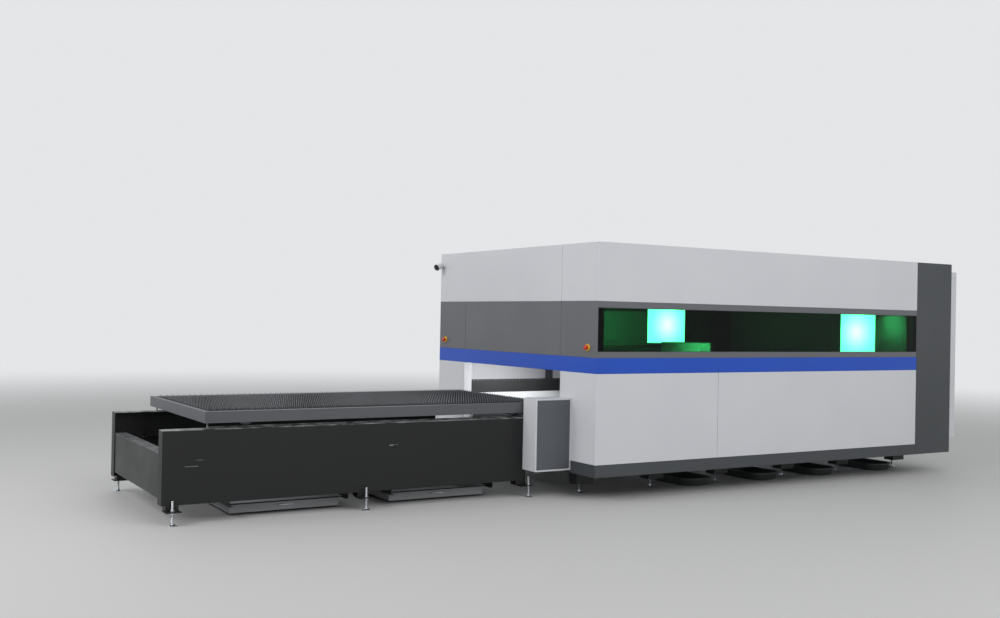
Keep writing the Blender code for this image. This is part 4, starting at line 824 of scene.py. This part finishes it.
# %% [markdown]
# ## Pallet wheels
# Each pallet rolls on two pairs of turned steel wheels. The wheel has a broken edge and
# a raised hub, and its axle ends in a small shoulder on the pallet's side.

# %% Wheelsets
RAIL_FACE_Y, RAIL_WIDTH, WHEEL_GAP, WHEEL_WIDTH = 0.589, 0.06, 0.0025, 0.025
AXLE_RADIUS, AXLE_EDGE = 0.0100, 0.0015


def wheelset(node, body):
    low, high = corners_of(node)
    middle = (low + high) / 2
    radius, width = (high.z - low.z) / 2, WHEEL_WIDTH
    profile = ((radius * 0.90, 0.0), (radius, 0.002), (radius, width - 0.002), (radius * 0.90, width),
               (radius * 0.84, width - 0.002), (radius * 0.5, width - 0.002), (radius * 0.42, width + 0.0015),
               (radius * 0.24, width + 0.0015))
    parts = []
    for y, inward in zip(both_sides(RAIL_FACE_Y + RAIL_WIDTH + WHEEL_GAP), (1, -1)):
        place = Matrix.Translation((middle.x, CORNER.y + y, middle.z))
        turn = Matrix.Rotation(-QUARTER_TURN * inward, 4, "X")
        parts.append(settle(turned(node + "_wheel", profile, 48), place @ turn))
    length = high.y - low.y
    axle = turned(node + "_axle", ((AXLE_RADIUS - AXLE_EDGE, 0.0), (AXLE_RADIUS, AXLE_EDGE),
                                   (AXLE_RADIUS, length - AXLE_EDGE), (AXLE_RADIUS - AXLE_EDGE, length)), 24)
    parts.append(settle(axle, Matrix.Translation((middle.x, low.y, middle.z))
                        @ Matrix.Rotation(-QUARTER_TURN, 4, "X")))
    return dress(joined(node + "_turned", parts), body, "ground_steel", WHEEL_STEEL, node)


wheelsets = [wheelset(level + "_wheelset_" + side, level + "_wheels_" + side)
             for level in ("upper", "lower") for side in ("left", "right")]
print("wheelsets:", len(wheelsets))

# %% [markdown]
# ## Emergency stops
# Each is a red mushroom on a short stem in a round yellow collar on the grey band. The
# mushroom's face is a shallow dome with a finger groove under its rim, and it can be
# pressed in by 6 mm, so it rides on its own body while the collar stays on the panel.
# The collar needs a bore for the stem, so both of its end discs are deleted and the two
# open rims are bridged into a ring.

# %% Stop buttons
COLLAR_BACK, COLLAR_RADIUS, COLLAR_DEPTH, COLLAR_BORE = 0.0003, 0.0318, 0.0131, 0.0118
COLLAR = ((COLLAR_RADIUS, COLLAR_BACK), (COLLAR_RADIUS, 0.0085), (0.0300, 0.0121), (0.0270, COLLAR_DEPTH),
          (0.0240, COLLAR_DEPTH), (0.0228, 0.0124), (COLLAR_BORE, 0.0124), (COLLAR_BORE, COLLAR_BACK))
# The mushroom's profile: each radius and how far it lies behind the face.
MUSHROOM = ((0.0105, 0.0215), (0.0125, 0.0185), (0.0185, 0.0175), (0.0208, 0.0150), (0.0210, 0.0085),
            (0.0196, 0.0045), (0.0165, 0.0018), (0.0110, 0.0004), (0.0050, 0.0))
out_of_end = Matrix.Rotation(-QUARTER_TURN, 4, "Y")


def bored_through(piece, back):
    """Takes both end discs off a turned piece and bridges the rims into a ring."""
    open_faces(piece, lambda face: abs(face.normal.z) > 0.9 and face.center.z < back)
    corners = piece.data.vertices
    choose(piece, "edges", lambda edge: max(corners[end].co.z for end in edge.vertices) < back)
    bpy.ops.mesh.bridge_edge_loops()
    leave_outward()
    return piece


def stop_button(side):
    node = "estop_button_" + side
    low, high = corners_of(node)
    middle, depth = (low + high) / 2, high.x - low.x
    collar = turned("stop_collar_" + side, COLLAR, 48)
    bored_through(collar, COLLAR_BACK + 0.0002)
    settle(collar, Matrix.Translation((CORNER.x, middle.y, middle.z)) @ out_of_end)
    dress(collar, "machine", "red_plastic", YELLOW_PLASTIC)
    profile = [(MUSHROOM[0][0], 0.0)] + [(radius, depth - behind) for radius, behind in MUSHROOM]
    cap = turned("stop_mushroom_" + side, profile, 48)
    settle(cap, Matrix.Translation((high.x, middle.y, middle.z)) @ out_of_end)
    return dress(cap, "estop_" + side, "red_plastic", RED_PLASTIC, node)


stops = [stop_button(side) for side in ("front", "rear")]
print("stop buttons:", len(stops))

# %% [markdown]
# ## Bullet camera
# A small white camera hangs on a short arm at the far top corner, and looks down along
# the table. Its barrel has a rounded back and a slightly wider front shell, with a black
# face and a glossy lens in the middle. All of it is turned, then tipped to its aim.

# %% Bullet camera
CAMERA_WALL = (0.0, 2.79, 2.12)
CAMERA_PAN, CAMERA_DIP, CAMERA_ARM, CAMERA_SHELL = 24.0, 18.0, 0.05, 0.036
CAMERA_FOOT = ((0.028, 0.0003), (0.028, 0.009), (0.025, 0.0122), (0.0105, 0.0125), (0.0088, 0.016),
               (0.0088, CAMERA_ARM))
CAMERA_BARREL = ((0.018, -0.040), (0.027, -0.036), (0.030, -0.026), (0.030, 0.020), (CAMERA_SHELL, 0.026),
                 (CAMERA_SHELL, 0.062), (0.033, 0.064), (0.031, 0.058))
CAMERA_FACE = ((0.031, 0.055), (0.031, 0.0595), (0.0155, 0.0600), (0.0150, 0.0635), (0.0100, 0.0640),
               (0.0070, 0.0620), (0.0030, 0.0635))


def bullet_camera():
    wall = at(*CAMERA_WALL)
    level = Matrix.Translation(wall) @ out_of_end
    foot = turned("camera_foot", CAMERA_FOOT, 32)
    settle(foot, level)
    knuckle = wall + Vector((-CAMERA_ARM - 0.0003, 0, 0))
    aim = (Matrix.Translation(knuckle) @ Matrix.Rotation(math.radians(CAMERA_PAN), 4, "Z")
           @ Matrix.Rotation(-math.radians(CAMERA_DIP), 4, "Y") @ out_of_end)
    barrel = turned("camera_barrel", CAMERA_BARREL, 40)
    settle(barrel, aim)
    shell = joined("camera_shell", [foot, barrel])
    dress(shell, "machine", "white_powder_coat", WHITE_COAT, "bullet_camera")
    face = turned("camera_face", CAMERA_FACE, 40)
    settle(face, aim)
    dress(face, "machine", "dark_grey_powder_coat", BLACK_PLASTIC)


bullet_camera()
print("camera on the wall at", at(*CAMERA_WALL))

# %% [markdown]
# ## Window seal
# The laser glass is held behind the grey band by a black rubber seal, which shows as a
# fine dark line all round the opening. Four strips with rounded edges make the frame,
# and behind each end of the glass a wider black strip covers the post.

# %% Window seal
pane_low, pane_high = corners_of("front_window_pane")
WINDOW_BOTTOM, WINDOW_TOP, WINDOW_END = 1.299, 1.682, 0.005
PANE_OVERLAP = 0.0033
SEAL, SEAL_FRONT, SEAL_BACK, SEAL_EDGE = 0.004, 0.0006, 0.0032, 0.0008
COVER_Y, COVER_SHEET, COVER_MARGIN, COVER_EDGE = 0.0098, 0.002, 0.01, 0.0006
LEFT_COVER, RIGHT_COVER = (0.006, 0.058), (0.04, 0.001)


def window_seal():
    left = pane_low.x - PANE_OVERLAP + WINDOW_END
    right = pane_high.x + PANE_OVERLAP - WINDOW_END
    front, back = CORNER.y + SEAL_FRONT, CORNER.y + SEAL_BACK
    strips = [block("seal_strip", (low_x, front, low_z), (high_x, back, high_z), SEAL_EDGE)
              for low_x, high_x, low_z, high_z in ((left, right, WINDOW_BOTTOM, WINDOW_BOTTOM + SEAL),
                                                   (left, right, WINDOW_TOP - SEAL, WINDOW_TOP),
                                                   (left, left + SEAL, WINDOW_BOTTOM, WINDOW_TOP),
                                                   (right - SEAL, right, WINDOW_BOTTOM, WINDOW_TOP))]
    behind = CORNER.y + COVER_Y
    for low_x, high_x in ([CORNER.x + x for x in LEFT_COVER], [right - x for x in RIGHT_COVER]):
        strips.append(block("seal_cover", (low_x, behind, WINDOW_BOTTOM - COVER_MARGIN),
                            (high_x, behind + COVER_SHEET, WINDOW_TOP + COVER_MARGIN), COVER_EDGE))
    return dress(joined("window_seal", strips), "machine", "dark_grey_powder_coat", RUBBER)


seal = window_seal()
print("seal faces:", len(seal.data.polygons))

# %% [markdown]
# ## Scrap trays
# Two shallow trays slide under the table on folded lips. Each is a pan with a rolled top
# edge: a block without its top, given a wall, with its folds rounded. The handle is a
# chromed bow: a small circle is extruded out, spun round the first corner, drawn across,
# spun round the second and drawn back.

# %% Tray handle
HANDLE_ROUND, HANDLE_BEND, HANDLE_ROOT = 0.0055, 0.011, 0.002
HANDLE_HALF, HANDLE_REACH, HANDLE_Z = 0.07, 0.03, 0.06


def bow_handle(name, centre_x, face_y):
    """A round bow that stands out from a front face and runs along X."""
    leg_x = centre_x - HANDLE_HALF + HANDLE_ROUND
    bow = fresh(bpy.ops.mesh.primitive_circle_add, name, vertices=12, radius=HANDLE_ROUND,
                fill_type="NOTHING", location=(leg_x, face_y + HANDLE_ROOT, HANDLE_Z),
                rotation=(QUARTER_TURN, 0, 0))
    settle(bow)
    straight = HANDLE_REACH - HANDLE_ROUND - HANDLE_BEND + HANDLE_ROOT
    across = 2 * (HANDLE_HALF - HANDLE_ROUND - HANDLE_BEND)
    turn_y = face_y + HANDLE_ROOT - straight
    edit_all()
    for move, pivot_x in (((0, -straight, 0), leg_x + HANDLE_BEND),
                          ((across, 0, 0), leg_x + HANDLE_BEND + across)):
        extrude(*move)
        bpy.ops.mesh.spin(steps=5, angle=QUARTER_TURN, center=(pivot_x, turn_y, HANDLE_Z), axis=(0, 0, 1))
    extrude(0, straight, 0)
    bpy.ops.mesh.select_all(action="SELECT")
    bpy.ops.mesh.remove_doubles(threshold=0.0001)
    leave_outward()
    bpy.ops.object.shade_smooth_by_angle(angle=math.radians(40))
    return bow


print("handle reach in mm:", HANDLE_REACH * 1000)

# %% Trays
TRAY_FRONT_Y, TRAY_LIP, TRAY_SHEET, TRAY_FOLD = 0.74, 0.03, 0.003, 0.0012
HEM_DEPTH, HEM_THICKNESS, HEM_EDGE = 0.012, 0.006, 0.0015
LIP_LAP, LIP_EDGE = 0.002, 0.001


def scrap_tray(side):
    node, body = "scrap_tray_" + side, "tray_" + side
    low, high = corners_of(node)
    front, hem = CORNER.y + TRAY_FRONT_Y, high.z
    inner_left, inner_right = low.x + TRAY_LIP, high.x - TRAY_LIP
    shell = block(node + "_pan", (inner_left, front, low.z), (inner_right, high.y, hem))
    open_faces(shell, lambda face: face.normal.z > 0.9)
    finish_with(shell, "SOLIDIFY", thickness=TRAY_SHEET, offset=-1, use_even_offset=True)
    finish_with(shell, "BEVEL", width=TRAY_FOLD, segments=2)
    parts = [shell,
             block(node + "_lip_left", (low.x, front, hem - TRAY_SHEET),
                   (inner_left + LIP_LAP, high.y, hem), LIP_EDGE),
             block(node + "_lip_right", (inner_right - LIP_LAP, front, hem - TRAY_SHEET), high, LIP_EDGE),
             block(node + "_hem_front", (inner_left, front, hem - HEM_DEPTH),
                   (inner_right, front + HEM_THICKNESS, hem), HEM_EDGE)]
    dress(bow_handle(node + "_handle", (low.x + high.x) / 2, front), body, "ground_steel", CHROME)
    return dress(joined(node + "_folded", parts), body, "tray_steel", TRAY_COAT_PAINTED_LIGHTER, node)


trays = [scrap_tray(side) for side in ("left", "right")]
print("trays:", len(trays))

# %% [markdown]
# ## Bins
# Four round-cornered bins stand under the bed to catch the cut scrap. Each starts as a
# block whose upright edges are bevelled into wide rounds. Its top is taken off, and the
# open edge is drawn outwards and down into a rolled rim before the wall gets its
# thickness.

# %% Bins
BIN_CORNER, BIN_RIM, BIN_DRAFT, BIN_RIM_DROP, BIN_WALL = 0.15, 0.005, 0.012, 0.008, 0.003


def scrap_bin(node):
    low, high = corners_of(node)
    inset, middle = Vector((BIN_RIM, BIN_RIM, 0)), (low + high) / 2
    width, depth = (high - low).xy
    tub = block(node + "_tub", low + inset, high - inset)
    corners = tub.data.vertices
    choose(tub, "edges",
           lambda edge: abs(corners[edge.vertices[0]].co.z - corners[edge.vertices[1]].co.z) > 0.01)
    bpy.ops.mesh.bevel(offset=BIN_CORNER - BIN_RIM, segments=9, affect="EDGES")
    leave_edit()
    choose(tub, "polygons", lambda face: face.normal.z < -0.9)
    shrink = 1 - 2 * BIN_DRAFT / width
    bpy.ops.transform.resize(value=(shrink, shrink, 1), center_override=(middle.x, middle.y, low.z))
    leave_edit()
    open_faces(tub, lambda face: face.normal.z > 0.9)
    corners = tub.data.vertices
    choose(tub, "edges", lambda edge: min(corners[end].co.z for end in edge.vertices) > high.z - 0.001)
    grow = (width / (width - 2 * BIN_RIM), depth / (depth - 2 * BIN_RIM), 1)
    extrude(0, 0, 0)
    bpy.ops.transform.resize(value=grow, center_override=(middle.x, middle.y, high.z))
    extrude(0, 0, -BIN_RIM_DROP)
    leave_edit()
    finish_with(tub, "SOLIDIFY", thickness=BIN_WALL, offset=-1)
    bpy.ops.object.shade_smooth_by_angle(angle=math.radians(40))
    return dress(tub, "machine", "bin_plastic", BIN_PLASTIC, node)


bins = [scrap_bin(f"floor_bin_{number}") for number in range(1, 5)]
print("bins:", len(bins))

# %% [markdown]
# ## Floor and light
# A pale floor carries the shadow. Far from the machine it fades into the pale
# background, so that no horizon cuts through the picture. One large soft lamp stands
# high in front of the long side, and a second one lights the end of the cabin and the
# table as brightly. Four small ones inside stand for the light that fills the room.
# The world is plain: pale where the camera, a gloss or the glass sees it, and lower as
# a source of light.

# %% Floor and world
BACKGROUND = "#e9ebed"
SEEN_STRENGTH, GIVEN_STRENGTH = 0.95, 0.8
LOOKING_RAYS = "Is Camera Ray", "Is Glossy Ray", "Is Transmission Ray"
FADE_START, FADE_END = 7, 22
floor = fresh(bpy.ops.mesh.primitive_plane_add, "floor", size=240)


def pale_floor():
    material, tree, shader = new_finish("pale_floor", "#b0b0ae", 0.6)
    place = add_node(tree, "ShaderNodeTexCoord").outputs["Object"]
    away = add_node(tree, "ShaderNodeVectorMath", {"operation": "LENGTH"}, i0=place)
    fade = add_node(tree, "ShaderNodeMapRange", {"interpolation_type": "SMOOTHSTEP"},
                    Value=away.outputs["Value"], i1=FADE_START, i2=FADE_END)
    share = add_node(tree, "ShaderNodeMath", {"operation": "MULTIPLY"}, i0=seen_by(tree, *LOOKING_RAYS),
                     i1=fade.outputs["Result"])
    distance_glow = add_node(tree, "ShaderNodeEmission", Color=linear(BACKGROUND), Strength=SEEN_STRENGTH)
    blend = add_node(tree, "ShaderNodeMixShader", i0=share.outputs[0], i1=shader.outputs["BSDF"],
                     i2=distance_glow.outputs["Emission"])
    tree.links.new(blend.outputs["Shader"], tree.nodes["Material Output"].inputs["Surface"])
    return material


floor.data.materials.append(pale_floor())

world = bpy.data.worlds.new("studio")
scene.world = world
world.use_nodes = True
sky = world.node_tree
background = sky.nodes["Background"]
background.inputs["Color"].default_value = linear(BACKGROUND)
strength = add_node(sky, "ShaderNodeMapRange", Value=seen_by(sky, *LOOKING_RAYS), i3=GIVEN_STRENGTH,
                    i4=SEEN_STRENGTH)
sky.links.new(strength.outputs["Result"], background.inputs["Strength"])
print("floor fades from", FADE_START, "to", FADE_END, "m")

# %% Lamps
# Each lamp: its name, its place and its target from the cabin's corner, its size, its
# power in watts and its spread in degrees.
LAMPS = (("long_side_lamp", (1.0, -8.0, 7.0), (1.5, 0.5, 1.0), (9, 5), 430, 180),
         ("end_lamp", (-9.0, 0.5, 6.0), (0.0, 1.4, 1.2), (6, 5), 460, 180),
         ("low_room_lamp", (0.5, 1.2, 1.22), (0.55, 2.85, 0.72), (0.8, 0.2), 5, 70),
         ("rear_wall_lamp", (1.7, 1.9, 1.95), (2.25, 2.85, 1.5), (0.6, 0.2), 20, 70),
         ("carriage_lamp", (1.5, 0.45, 1.95), (2.15, 1.05, 1.25), (0.3, 0.3), 12, 45),
         ("tail_corner_lamp", (3.93, 0.26, 1.72), (4.19, 0.26, 1.48), (0.2, 0.1), 1.5, 90))
for name, place, target, size, power, spread in LAMPS:
    light = bpy.data.lights.new(name, "AREA")
    light.shape = "RECTANGLE"
    light.size, light.size_y = size
    light.energy = power
    light.spread = math.radians(spread)
    lamp = bpy.data.objects.new(name, light)
    lamp.location = at(*place)
    lamp.rotation_euler = (at(*target) - at(*place)).to_track_quat("-Z", "Y").to_euler()
    scene.collection.objects.link(lamp)
scene.view_settings.view_transform = "Standard"
print("lamps:", len(LAMPS))
